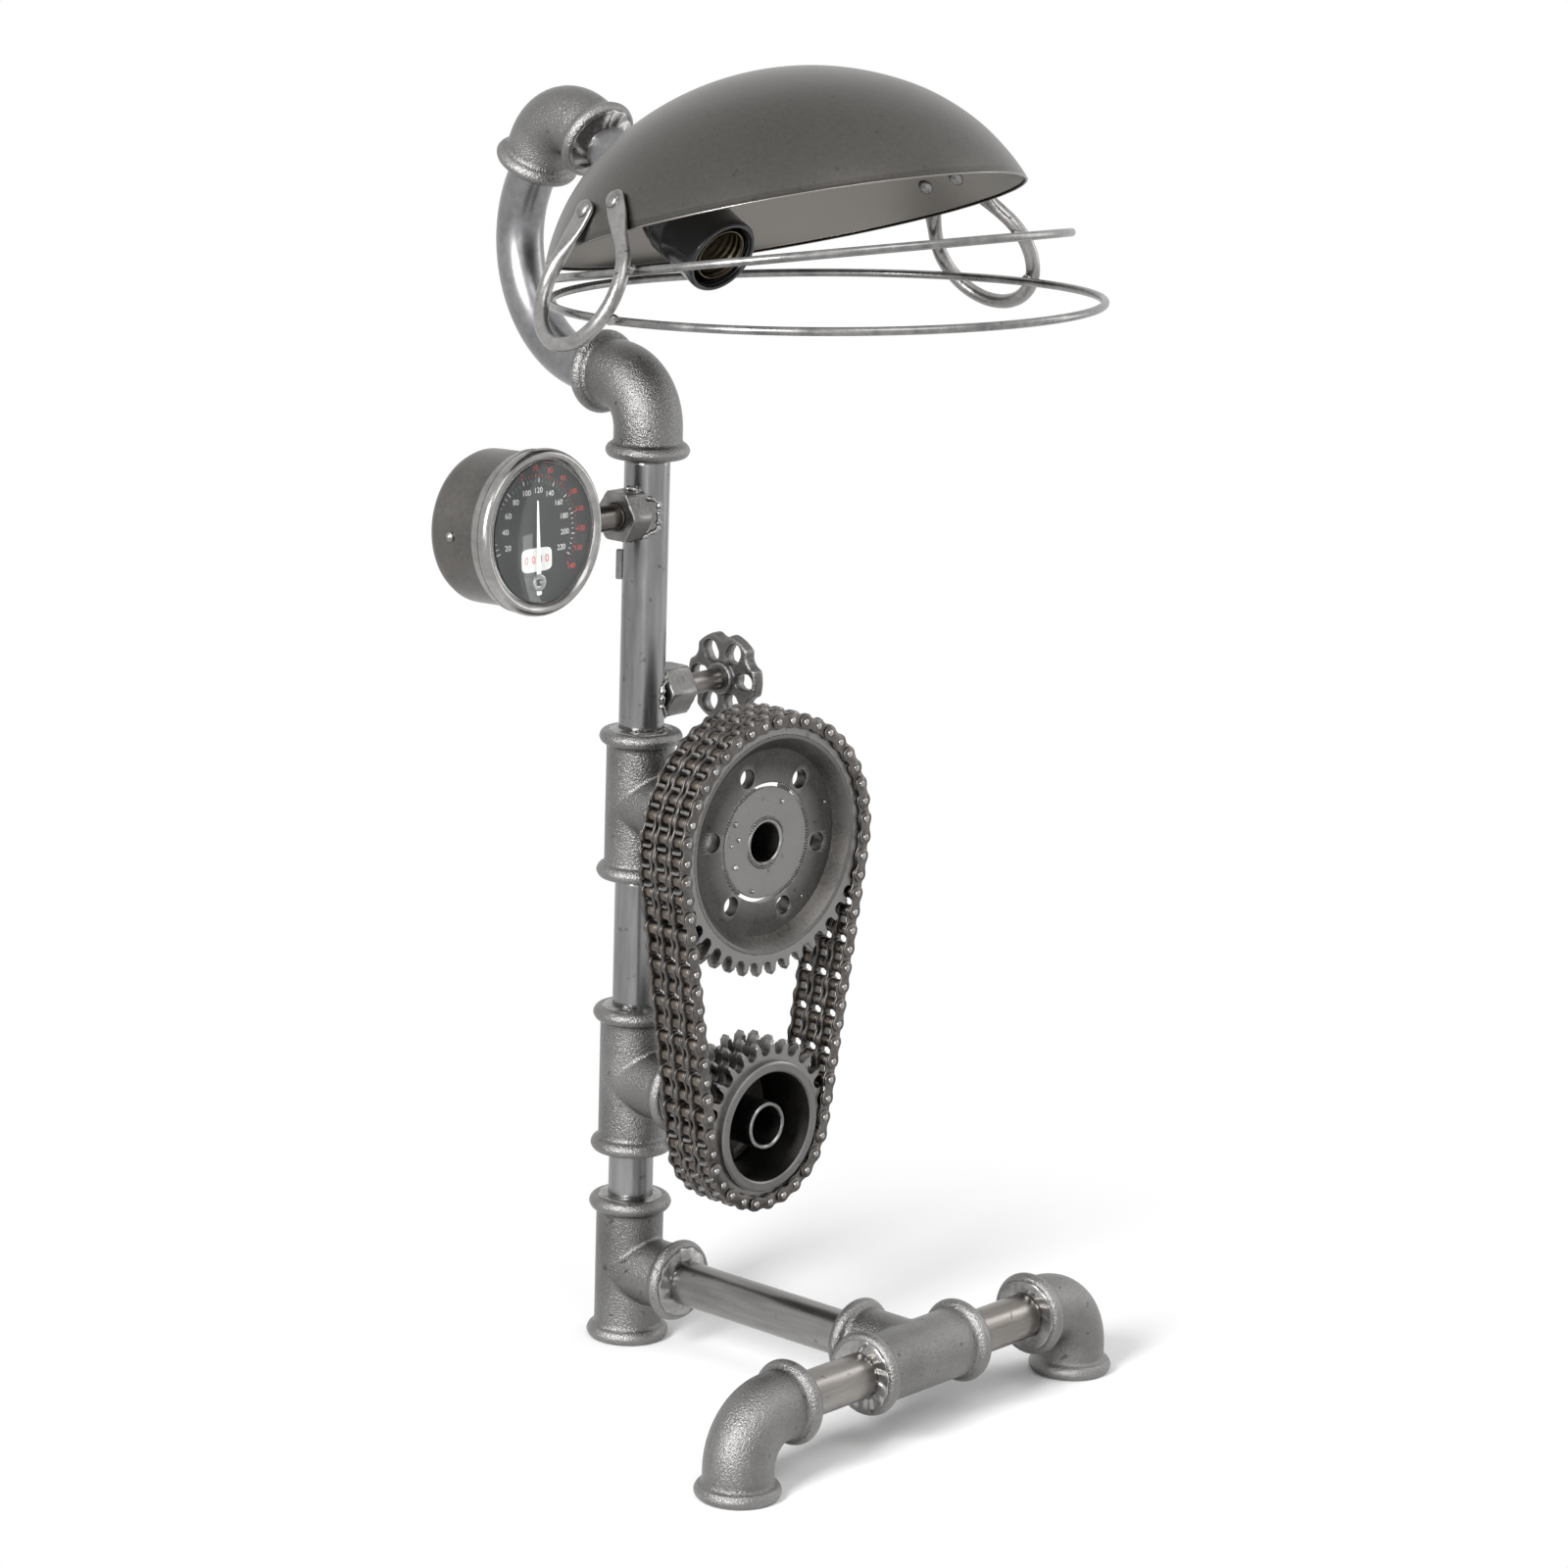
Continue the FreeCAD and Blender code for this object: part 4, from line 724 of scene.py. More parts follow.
cap_profile = [(0.0052, 0.0046, 0), (0.0090, 0.0046, 0), (0.0102, 0.0052, 0), (0.0108, 0.0064, 0)]
cap_profile += [(0.0112 + 0.0076 * f ** 0.8, 0.0068 + 0.0190 * f,
    math.sin(math.pi * f) ** 0.5) for f in np.linspace(0.02, 0.98, 18)]
cap_profile += [(0.0192, 0.0262, 0), (0.0195, 0.0270, 0), (0.0195, 0.0282, 0), (0.0191, 0.0286, 0), (0.0171,
    0.0286, 0), (0.0168, 0.0270, 0), (0.0066, 0.0074, 0), (0.0052, 0.0070, 0)]
verts, faces = ribbed(cap_profile, 240, 4, 0.0013, wall, exit_dir, 0.6)
cap = weld(piece("holder_cap", verts, faces, black, "black_plastic"))
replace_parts(cap, "lampholder_cap")
skirt = [(0.0171, 0.0287), (0.0191, 0.0287), (0.0195, 0.0292)]
for k in range(6):
    z = 0.0292 + 0.0012 * k
    skirt += [(0.0195, z + 0.0004), (0.0189, z + 0.0006), (0.0189, z + 0.0009), (0.0195, z + 0.0011)]
skirt += [(0.0195, 0.0380), (0.0194, 0.0480), (0.0193, 0.0560), (0.0195, 0.0575), (0.0195, 0.0606), (0.0190,
    0.0616), (0.0184, 0.0620), (0.0174, 0.0620), (0.0169, 0.0615)]
for k in range(9):
    z = 0.0605 - 0.0024 * k
    skirt += [(0.0171, z), (0.0167, z - 0.0004), (0.0163, z - 0.0010), (0.0167, z - 0.0016), (0.0171,
        z - 0.0020)]
skirt += [(0.0171, 0.0340)]
holder = turned("holder_body", skirt, wall, exit_dir, black, "black_plastic", count=96, closed=True)
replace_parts(holder, "lampholder_body")


def thread_shell(radius, depth, pitch, z0, z1, skin, at, along, count=72):
    """A rolled screw shell: radius + depth * sin of turn plus height over
    the pitch, so the wave climbs round as a helix."""
    basis = axes(along)
    turn = np.linspace(0, 2 * math.pi, count, endpoint=False)
    verts = []
    heights = np.linspace(z0, z1, 64)
    for inner in (0, 1):
        rows = heights if inner == 0 else heights[::-1]
        for h in rows:
            r = radius - inner * skin - depth * (0.5 + 0.5 * np.cos(turn - 2 * math.pi * h / pitch))
            verts.append(circle(at, basis, turn, r, h))
    return np.concatenate(verts), grid_faces(128, count, True)


verts, faces = thread_shell(0.0139, 0.0008, 0.0036, 0.0347, 0.0596, 0.0005, wall, exit_dir)
shell = weld(piece("screw_shell", verts, faces, brass, "holder_brass"))
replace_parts(shell, "lampholder_screw_shell")
disc_profile = [(0, 0.0306), (0.0162, 0.0306), (0.0168, 0.0311), (0.0168, 0.0360), (0.0163, 0.0364),
    (0.01445, 0.0364), (0.0140, 0.0360), (0.0140, 0.0345), (0.0046, 0.0345), (0.0041, 0.0342), (0.0041,
    0.0329), (0, 0.0329)]
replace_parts(turned("holder_insulator", disc_profile, wall, exit_dir, ceramic, "ceramic", count=64),
    "lampholder_insulator")
tongue = [(0, 0.0330), (0.0038, 0.0330), (0.0040, 0.0332), (0.0040, 0.0341), (0.0036, 0.03445), (0,
    0.03445)]
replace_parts(turned("holder_contact", tongue, wall, exit_dir, brass, "holder_brass", count=40),
    "lampholder_contact")
thread = [(0.0039, -0.016)]
for k in range(32):
    thread += [(0.0046, -0.016 + 0.001 * k), (0.0050, -0.0155 + 0.001 * k)]
thread += [(0.0046, 0.0160), (0.0039, 0.0160)]
nipple = turned("threaded_nipple", thread, wall, exit_dir, brass, "pipe_steel", count=40, closed=True)
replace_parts(nipple, "shade_nipple")


def hex_solid(at, along, flats, length, bore, turn=0.0, chamfer=0.0008):
    """A hexagon nut with chamfered corners: the radius of a hexagon, capped
    near both ends by a circle that closes in."""
    basis = axes(along)
    a = np.linspace(0, 2 * math.pi, 96, endpoint=False)
    flat = (flats / 2) / np.cos((a - turn + math.pi / 6) % (math.pi / 3) - math.pi / 6)
    corner = flats / 2 / math.cos(math.pi / 6)
    verts = []
    levels = [(0.0, corner - chamfer * 1.7), (chamfer * 0.5, corner - chamfer * 0.6), (chamfer, corner),
        (length - chamfer, corner), (length - chamfer * 0.5, corner - chamfer * 0.6), (length,
        corner - chamfer * 1.7)]
    for h, limit in levels:
        verts.append(circle(at, basis, a, np.minimum(flat, limit), h))
    for h, r in ((length, bore + 0.0007), (length - 0.0007, bore), (0.0007, bore), (0.0, bore + 0.0007)):
        verts.append(circle(at, basis, a, r, h))
    return np.concatenate(verts), grid_faces(10, 96, True)


verts, faces = hex_solid(wall + exit_dir * 0.00155, exit_dir, 0.0142, 0.003, 0.0049)
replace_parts(weld(piece("holder_nut", verts, faces, wire_steel, "pipe_steel")), "lock_nut")

# Triplex roller chain: 64 links on three rows of rollers, run round the
# upper sprocket of 41 teeth and the lower one of 26.
PITCH = 0.009525
UPPER_TEETH = 41
LOWER_TEETH = 26
R_UP = 0.5 * PITCH / math.sin(math.pi / UPPER_TEETH)
R_LOW = 0.5 * PITCH / math.sin(math.pi / LOWER_TEETH)
Z_UP = UPPER_Z - 0.003
Z_LOW = MID_Z - 0.003
SPACING = Z_UP - Z_LOW
WRAP = math.asin((R_UP - R_LOW) / SPACING)
RUN = SPACING * math.cos(WRAP) / PITCH
QUARTER = (math.pi / 2 + WRAP) * UPPER_TEETH / (2 * math.pi)
LOW_ARC = (math.pi - 2 * WRAP) * LOWER_TEETH / (2 * math.pi)
TOTAL = 2 * QUARTER + 2 * RUN + LOW_ARC
LINKS = 2 * round(TOTAL / 2)
STRETCH = TOTAL / LINKS
PHASE = 0.81


def chain_point(s):
    """Place on the pitch line, s pitches past the top, as (sideways, up):
    an arc, a tangent, the lower arc, the other tangent and the last arc."""
    s = s % TOTAL
    if s <= QUARTER:
        a = math.pi / 2 - s * 2 * math.pi / UPPER_TEETH
        return np.array([R_UP * math.cos(a), Z_UP + R_UP * math.sin(a)])
    s -= QUARTER
    out = np.array([math.cos(WRAP), -math.sin(WRAP)])
    if s <= RUN:
        a = np.array([0, Z_UP]) + out * R_UP
        b = np.array([0, Z_LOW]) + out * R_LOW
        return a + (b - a) * s / RUN
    s -= RUN
    if s <= LOW_ARC:
        a = -WRAP - s * 2 * math.pi / LOWER_TEETH
        return np.array([R_LOW * math.cos(a), Z_LOW + R_LOW * math.sin(a)])
    s -= LOW_ARC
    out = np.array([-math.cos(WRAP), -math.sin(WRAP)])
    if s <= RUN:
        a = np.array([0, Z_LOW]) + out * R_LOW
        b = np.array([0, Z_UP]) + out * R_UP
        return a + (b - a) * s / RUN
    s -= RUN
    a = math.pi + WRAP - s * 2 * math.pi / UPPER_TEETH
    return np.array([R_UP * math.cos(a), Z_UP + R_UP * math.sin(a)])


PINS = [chain_point((PHASE + k) * STRETCH) for k in range(LINKS)]
CHAIN_X = 0.083
STRAND = 0.01024
HALF_IN = 0.00286
IN_T = 0.0013
OUT_T = 0.00104
chain_plate = steel("chain_plate", (0.075, 0.068, 0.063), (0.165, 0.155, 0.147), 0.40, 0.07, 600.0, 0.00012,
    130.0)
chain_roller = steel("chain_roller", (0.085, 0.068, 0.056), (0.18, 0.158, 0.140), 0.34, 0.07, 420.0,
    0.00006, 60.0)


def plate(a, b, x0, x1, half, waist, bevel=0.00022):
    """A figure of eight plate: two round ends joined by a curved waist,
    half(u) = half - waist * cos(pi * u)^2 between the pins."""
    along = (b - a) / np.linalg.norm(b - a)
    across = np.array([-along[1], along[0]])
    length = np.linalg.norm(b - a)
    rim_line = []
    for k in range(9):
        t = math.pi / 2 + math.pi * k / 8
        rim_line.append((half * math.cos(t), half * math.sin(t)))
    for k in range(1, 6):
        u = k / 6
        rim_line.append((length * u, -(half - waist * math.sin(math.pi * u) ** 2)))
    for k in range(9):
        t = -math.pi / 2 + math.pi * k / 8
        rim_line.append((length + half * math.cos(t), half * math.sin(t)))
    for k in range(1, 6):
        u = 1 - k / 6
        rim_line.append((length * u, half - waist * math.sin(math.pi * u) ** 2))
    count = len(rim_line)
    verts = []
    for x, shrink in ((x0, bevel), (x0 + bevel, 0), (x1 - bevel, 0), (x1, bevel)):
        for p in rim_line:
            q = np.array(p)
            d = q - np.array([min(max(q[0], 0), length), 0.0])
            q = q - d / max(1e-9, np.linalg.norm(d)) * shrink
            yz = a + along * q[0] + across * q[1]
            verts.append(drive_point(x, yz[0], yz[1]))
    return np.array(verts), capped(4, count)


def roll(centre, x0, x1, radius, count=20, edge=0.0003):
    """A short cylinder across the chain with broken edges."""
    profile = [(0, x0), (radius - edge, x0), (radius, x0 + edge), (radius, x1 - edge), (radius - edge, x1),
        (0, x1)]
    origin = drive_point(0, centre[0], centre[1])
    return lathe(profile, origin, drive_point(1, 0, 0), count)


outer_parts = []
inner_parts = []
roller_parts = []
pin_parts = []
first = CHAIN_X - STRAND - HALF_IN
last = CHAIN_X + STRAND + HALF_IN
for k in range(LINKS):
    a = PINS[k]
    b = PINS[(k + 1) % LINKS]
    if k % 2 == 1:
        for x in (first - IN_T - OUT_T, last + IN_T):
            outer_parts.append(plate(a, b, x, x + OUT_T, 0.0038, 0.0011))
        for gap in (-0.5, 0.5):
            mid = CHAIN_X + gap * STRAND
            outer_parts.append(plate(a, b, mid - 0.00092, mid + 0.00092, 0.0038, 0.0011))
    else:
        for strand in (-1, 0, 1):
            centre = CHAIN_X + strand * STRAND
            inner_parts.append(plate(a, b, centre - HALF_IN - IN_T, centre - HALF_IN, 0.0041, 0.0010))
            inner_parts.append(plate(a, b, centre + HALF_IN, centre + HALF_IN + IN_T, 0.0041, 0.0010))
    for strand in (-1, 0, 1):
        centre = CHAIN_X + strand * STRAND
        roller_parts.append(roll(a, centre - HALF_IN + 0.00015, centre + HALF_IN - 0.00015, 0.003175, 24))
    origin = drive_point(0, a[0], a[1])
    front = last + IN_T + OUT_T
    back = first - IN_T - OUT_T
    pin = [(0, front - 0.0004), (0.00164, front - 0.0004), (0.00164, front + 0.00035), (0.00135,
        front + 0.00065), (0.0008, front + 0.0008), (0, front + 0.0008)]
    pin_parts.append(lathe(pin, origin, drive_point(1, 0, 0), 18))
    tail = [(0, back + 0.0004), (0.00164, back + 0.0004), (0.00164, back - 0.0003), (0.0012, back - 0.0006),
        (0, back - 0.0006)]
    pin_parts.append(lathe(tail, origin, drive_point(1, 0, 0), 18))
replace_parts(mesh_sum("chain_outer_links", outer_parts, chain_plate, "chain_plate"), "chain_outer_plates")
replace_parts(mesh_sum("chain_inner_links", inner_parts, chain_plate, "chain_plate"), "chain_inner_plates")
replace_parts(mesh_sum("chain_roller_rows", roller_parts, chain_roller, "chain_roller"), "chain_rollers")
pin_metal = steel("pin_ends", (0.22, 0.21, 0.20), (0.48, 0.465, 0.45), 0.28, 0.08, 700.0, 0.00005, 200.0)
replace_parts(mesh_sum("chain_pin_ends", pin_parts, pin_metal, "chain_roller"), "chain_pin_heads")

# Sprockets: three rows of pointed teeth with a round seat under every
# roller, on one drum; a web with six holes above, a deep cup below.
drive_steel = steel("drive_steel", (0.042, 0.039, 0.036), (0.088, 0.083, 0.078), 0.38, 0.06, 600.0, 0.00016,
    40.0, edge=0.30, pits=0.3)


def tooth_ring(teeth, pitch_r, phase, tip):
    """Outline of a chain wheel as radius over angle: a round seat of
    3.3 mm under each roller, straight flanks and a narrow rounded tip."""
    seat = 0.0033
    points = []
    for k in range(teeth):
        a0 = phase + 2 * math.pi * k / teeth
        out = np.array([math.cos(a0), math.sin(a0)])
        side = np.array([-math.sin(a0), math.cos(a0)])
        for t in np.radians([-62, -46, -30, -15, 0, 15, 30, 46, 62]):
            points.append(out * (pitch_r - seat * math.cos(t)) + side * seat * math.sin(t))
        half = math.pi / teeth
        for da, r in ((0.72 * half, pitch_r + tip * 0.45), (0.86 * half, pitch_r + tip * 0.92), (half,
            pitch_r + tip), (1.14 * half, pitch_r + tip * 0.92), (1.28 * half, pitch_r + tip * 0.45)):
            points.append(np.array([math.cos(a0 + da), math.sin(a0 + da)]) * r)
    return np.array(points)


def toothed_disc(teeth, pitch_r, centre_z, phase, x, half, tip):
    """One row of teeth, its tips bevelled on both faces."""
    line = tooth_ring(teeth, pitch_r, phase, tip)
    radius = np.linalg.norm(line, axis=1)
    unit = line / radius[:, None]
    inner = pitch_r - 0.0075
    layers = []
    for dx, keep in ((-half, 0.0), (-half * 0.55, 1.0), (half * 0.55, 1.0), (half, 0.0)):
        cut = pitch_r + tip - 0.0021 if keep == 0 else 1.0
        r = np.minimum(radius, cut)
        layers.append([drive_point(x + dx, p[0], centre_z + p[1]) for p in unit * r[:, None]])
    core_a = [drive_point(x - half, p[0], centre_z + p[1]) for p in unit * inner]
    core_b = [drive_point(x + half, p[0], centre_z + p[1]) for p in unit * inner]
    verts = np.array(core_a + sum(layers, []) + core_b)
    return verts, grid_faces(6, len(line), True)


def sprocket(name, rows, profile, centre_z, node, holes=()):
    """Drum and web turned from a profile about the axle, with tooth rows."""
    origin = drive_point(0, 0, centre_z)
    drum = turned(name + "_drum", profile, origin, branch, drive_steel, "drive_steel", count=160,
        closed=True)
    if holes:
        carve(drum, holes)
    sharp = drum.data
    sharp.polygons.foreach_set("use_smooth", [True] * len(sharp.polygons))
    sharp.set_sharp_from_angle(angle=math.radians(24))
    teeth = mesh_sum(name + "_teeth", rows, drive_steel, "drive_steel")
    teeth.data.set_sharp_from_angle(angle=math.radians(28))
    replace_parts(drum, node)
    return drum


up_phase = math.pi / 2 - PHASE * 2 * math.pi / UPPER_TEETH
first_low = QUARTER + RUN
low_s = math.ceil(first_low / STRETCH - PHASE) + PHASE
low_phase = -WRAP - (low_s * STRETCH - first_low) * 2 * math.pi / LOWER_TEETH
HALF_ROW = 0.00265
TIP_RISE = 0.0042
ROWS = (CHAIN_X - STRAND, CHAIN_X, CHAIN_X + STRAND)
FRONT = ROWS[2] + HALF_ROW
REAR = ROWS[0] - HALF_ROW
up_rows = [toothed_disc(UPPER_TEETH, R_UP, Z_UP, up_phase, x, HALF_ROW, TIP_RISE) for x in ROWS]
low_rows = [toothed_disc(LOWER_TEETH, R_LOW, Z_LOW, low_phase, x, HALF_ROW, TIP_RISE) for x in ROWS]
web_f = FRONT - 0.0064
web_b = web_f - 0.0060
up_profile = [(0.0300, web_b + 0.0040), (0.0312, web_b - 0.0003), (0.0470, web_b - 0.0003), (0.0478,
    web_b - 0.0010), (0.0485, REAR + 0.0008), (0.0490, REAR)]
up_profile += [(R_UP - 0.0070, REAR), (R_UP - 0.0063, REAR + 0.0006), (R_UP - 0.0063, FRONT - 0.0006),
    (R_UP - 0.0070, FRONT), (0.0535, FRONT), (0.0530, FRONT - 0.0002)]
up_profile += [(0.0478, web_f + 0.0008), (0.0470, web_f), (0.0304, web_f), (0.0300, web_f - 0.0004)]
hole_tools = []
for k in range(6):
    a = math.radians(-8.1 + 60 * k)
    at = drive_point(0, 0.0365 * math.cos(a), Z_UP + 0.0365 * math.sin(a))
    hole_tools.append(tool_solid([(0, web_b - 0.002), (0.0052, web_b - 0.002), (0.0047, web_b + 0.0004),
        (0.0047, web_f - 0.0004), (0.0053, web_f + 0.0012), (0, web_f + 0.0012)], at, branch, 40))
sprocket("upper_sprocket", up_rows, up_profile, Z_UP, "upper_sprocket", hole_tools)
low_profile = [(0.01205, 0.0600), (0.0325, 0.0600), (R_LOW - 0.0063, 0.0607), (R_LOW - 0.0063, 0.0983),
    (0.0322, 0.0990), (0.0288, 0.0990), (0.0280, 0.0984)]
low_profile += [(0.0279, 0.0680), (0.0272, 0.0664), (0.0258, 0.0660), (0.0150, 0.0660), (0.01205, 0.0660)]
slit_tools = []
for angle in (35.0, 215.0):
    a = math.radians(angle)
    tool = bare("tool", [], [])
    bm = bmesh.new()
    bmesh.ops.create_cube(bm, size=1.0)
    bm.to_mesh(tool.data)
    bm.free()
    c = math.cos(a)
    s = math.sin(a)
    for v in tool.data.vertices:
        y = v.co.y * 0.014
        z = v.co.z * 0.003 + 0.0235
        v.co = drive_point(0.063 + v.co.x * 0.010, y * c - z * s, Z_LOW + y * s + z * c)
    slit_tools.append(tool)
sprocket("lower_sprocket", low_rows, low_profile, Z_LOW, "lower_sprocket", slit_tools)

# Hub tubes carry the sprockets from the tees; the upper one ends in a disc
# that is tacked into the web with weld, leaving slots open between.


def ring_tube(name, z, end, node, radius=TUBE_R, inside=0.010):
    profile = [(inside, 0.026), (radius, 0.026), (radius, end - 0.0006), (radius - 0.0005, end),
        (inside + 0.0006, end), (inside, end - 0.0006)]
    obj = turned(name, profile, drive_point(0, 0, z), branch, pipe_x, "pipe_steel", closed=True)
    obj.data.set_sharp_from_angle(angle=math.radians(35))
    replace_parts(obj, node)


ring_tube("upper_hub", Z_UP, 0.0898, "upper_hub_tube")
ring_tube("lower_hub", Z_LOW, 0.0967, "lower_hub_tube")
disc_line = [(0.01205, web_f - 0.0045), (0.0265, web_f - 0.0045), (0.0279, web_f - 0.0020), (0.0280,
    web_f - 0.0004), (0.0276, web_f), (0.01205, web_f)]
plug = turned("hub_disc", disc_line, drive_point(0, 0, Z_UP), branch, drive_steel, "drive_steel", count=96,
    lump=0.00005, seed=5, closed=True)
plug.data.set_sharp_from_angle(angle=math.radians(35))
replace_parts(plug, "centre_disc")


def weld_arc(start, sweep, radius, x, width, rise, seed):
    """A bead of weld along part of a circle, with a ripple every 1.4 mm."""
    rng = np.random.default_rng(seed)
    steps = max(6, int(math.radians(sweep) * radius / 0.0004))
    verts = []
    for i in range(steps + 1):
        f = i / steps
        a = math.radians(start + sweep * f)
        end = min(1.0, 6 * f, 6 * (1 - f)) ** 0.5
        w = width * (0.35 + 0.65 * end) * (1 + 0.15 * math.sin(47 * f + seed))
        h = rise * (0.15 + 0.85 * end) * (1 + 0.25 * math.sin(steps * f * 1.8) + 0.15 * rng.normal())
        for j in range(9):
            t = math.pi * j / 8
            r = radius + w * math.cos(t)
            verts.append(drive_point(x + h * math.sin(t) - 0.0004, r * math.cos(a), Z_UP + r * math.sin(a)))
    faces = []
    for i in range(steps):
        for j in range(8):
            faces.append((i * 9 + j, i * 9 + j + 1, (i + 1) * 9 + j + 1, (i + 1) * 9 + j))
        faces.append((i * 9 + 8, i * 9, (i + 1) * 9, (i + 1) * 9 + 8))
    faces += [tuple(range(9))[::-1], tuple(range(steps * 9, steps * 9 + 9))]
    return np.array(verts), faces


arcs = [(-70.0, 100.0), (55.0, 20.0), (105.0, 60.0), (195.0, 40.0)]
arc_parts = [weld_arc(a, b, 0.0290, web_f, 0.0014, 0.0007, i) for i, (a, b) in enumerate(arcs)]
arc_parts += [weld_arc(a, b, 0.0124, web_f, 0.0009, 0.0011, 9 + i) for i, (a, b) in enumerate(((10, 150),
    (190, 120)))]
arcs_obj = mesh_sum("disc_weld_arcs", arc_parts, drive_steel, "drive_steel")
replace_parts(arcs_obj, "centre_welds")
spatter = []
for a, r, size in ((150, 0.024, 0.0013), (168, 0.019, 0.0010), (176, 0.0235, 0.0008), (60, 0.022, 0.0011),
    (205, 0.0225, 0.0012), (250, 0.025, 0.0010), (20, 0.043, 0.0009), (310, 0.041, 0.0007)):
    t = math.radians(a)
    spatter.append(blob(drive_point(web_f + size * 0.2, r * math.cos(t), Z_UP + r * math.sin(t)), size, a))
mesh_sum("weld_spatter", spatter, weld_metal, "drive_steel")

# Gauge: a round grey case with a rolled bright bezel, glass, and a black dial
# with an inner scale, an outer scale and a small counter window.
TIP = math.radians(2.5)
gauge_out = np.array([math.cos(TIP), 0, math.sin(TIP)])
gauge_up = np.array([-math.sin(TIP), 0, math.cos(TIP)])
gauge_right = np.array([0, 1.0, 0])
gauge_at = np.array([0.0165, -0.095, 0.4335])


def on_dial(right, up, out=0.0):
    """A place on the dial, from its centre."""
    return gauge_at + gauge_right * right + gauge_up * up + gauge_out * out


case_paint = steel("gauge_housing", (0.105, 0.099, 0.093), (0.165, 0.157, 0.149), 0.34, 0.05, 380.0,
    0.00006, 40.0)
bezel_metal = steel("bright_bezel", (0.24, 0.235, 0.23), (0.40, 0.395, 0.385), 0.24, 0.05, 260.0, 0.00002,
    40.0)
case_line = [(0, -0.0364), (0.0300, -0.0364), (0.0338, -0.0358), (0.0362, -0.0342), (0.0374, -0.0316),
    (0.0375, -0.0290)]
case_line += [(0.0375, -0.0290 + 0.0235 * f) for f in np.linspace(0.1, 0.9, 8)]
case_line += [(0.0375, -0.0046), (0.0375, -0.0004), (0.0360, -0.0004), (0.0360, -0.0340), (0, -0.0349)]
case = turned("gauge_drum", case_line, gauge_at, gauge_out, case_paint, "gauge_housing", count=128)
case.data.set_sharp_from_angle(angle=math.radians(50))
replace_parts(case, "gauge_case")
bezel_line = [(0.03755, -0.0044), (0.0392, -0.0044), (0.0397, -0.0040), (0.0396, -0.0026), (0.0398,
    -0.0016)]
bezel_line += [(0.0378 + 0.0027 * math.cos(t),
    0.0030 + 0.0036 * math.sin(t)) for t in np.radians(np.linspace(-62, 120, 16))]
bezel_line += [(0.0360, 0.0058), (0.0352, 0.0052), (0.0347, 0.0044), (0.0345, 0.0030), (0.0346, 0.0010),
    (0.0360, 0.0002), (0.03755, 0.0)]
bezel = turned("rolled_bezel", bezel_line, gauge_at, gauge_out, bezel_metal, "gauge_housing", count=160,
    closed=True)
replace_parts(bezel, "gauge_bezel")
screw_at = on_dial(0, 0, -0.0364 + 0.0162) - gauge_right * 0.0375
screw_line = [(0, 0.0019), (0.0011, 0.0019), (0.0012, 0.0013), (0.0019, 0.0012), (0.0024, 0.0008), (0.0024,
    -0.0010), (0, -0.0010)]
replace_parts(turned("case_bolt", screw_line, screw_at, -gauge_right, rivet_steel, "gauge_housing", count=30),
    "case_screw")

glass_mat = bpy.data.materials.new("gauge_glass")
glass_mat.use_nodes = True
tree = glass_mat.node_tree
bsdf = tree.nodes["Principled BSDF"]
bsdf.inputs["Base Color"].default_value = (0.96, 0.98, 0.98, 1)
bsdf.inputs["Transmission Weight"].default_value = 1.0
bsdf.inputs["IOR"].default_value = 1.45
bsdf.inputs["Specular IOR Level"].default_value = 0.12
smear = noise_node(tree, 60.0, 4.0, (1, 1, 1))
level = shader(tree, "MapRange", {"To Min": 0.0, "To Max": 0.02}, {"Value": smear})
tree.links.new(level.outputs["Result"], bsdf.inputs["Roughness"])
clear = shader(tree, "BsdfTransparent").outputs["BSDF"]
in_shadow = shader(tree, "LightPath").outputs["Is Shadow Ray"]
shadow_mix = shader(tree, "MixShader", inputs={"Fac": in_shadow, 1: bsdf.outputs["BSDF"], 2: clear})
tree.links.new(shadow_mix.outputs["Shader"], tree.nodes["Material Output"].inputs["Surface"])
glass_line = [(0, 0.0056), (0.0330, 0.0056), (0.0343, 0.00555), (0.0344, 0.0054), (0.0344, 0.0041), (0.0342,
    0.0040), (0, 0.0040)]
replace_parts(turned("gauge_window", glass_line, gauge_at, gauge_out, glass_mat, "gauge_glass", count=96),
    "gauge_glass")

dial_black = steel("dial_black", (0.003, 0.003, 0.003), (0.007, 0.007, 0.007), 0.60, 0.06, 300.0, 0.00001,
    60.0, metallic=0.0)
dial_line = [(0, -0.0008), (0.0355, -0.0008), (0.0355, -0.0001), (0.0354, 0.0), (0, 0.0)]
dial = turned("dial_plate", dial_line, gauge_at, gauge_out, dial_black, "gauge_face", count=96)
dial.data.set_sharp_from_angle(angle=math.radians(40))
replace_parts(dial, "gauge_dial")


def ink(name, colour):
    """Printed dial ink, slightly uneven."""
    return steel(name, tuple(c * 0.82 for c in colour), colour, 0.5, 0.05, 500.0, 0.00001, 300.0,
        metallic=0.0)


white_ink = ink("white_ink", (0.80, 0.80, 0.78))
red_ink = ink("red_ink", (0.62, 0.035, 0.03))
green_ink = ink("green_ink", (0.10, 0.36, 0.16))
LIFT = 0.00006


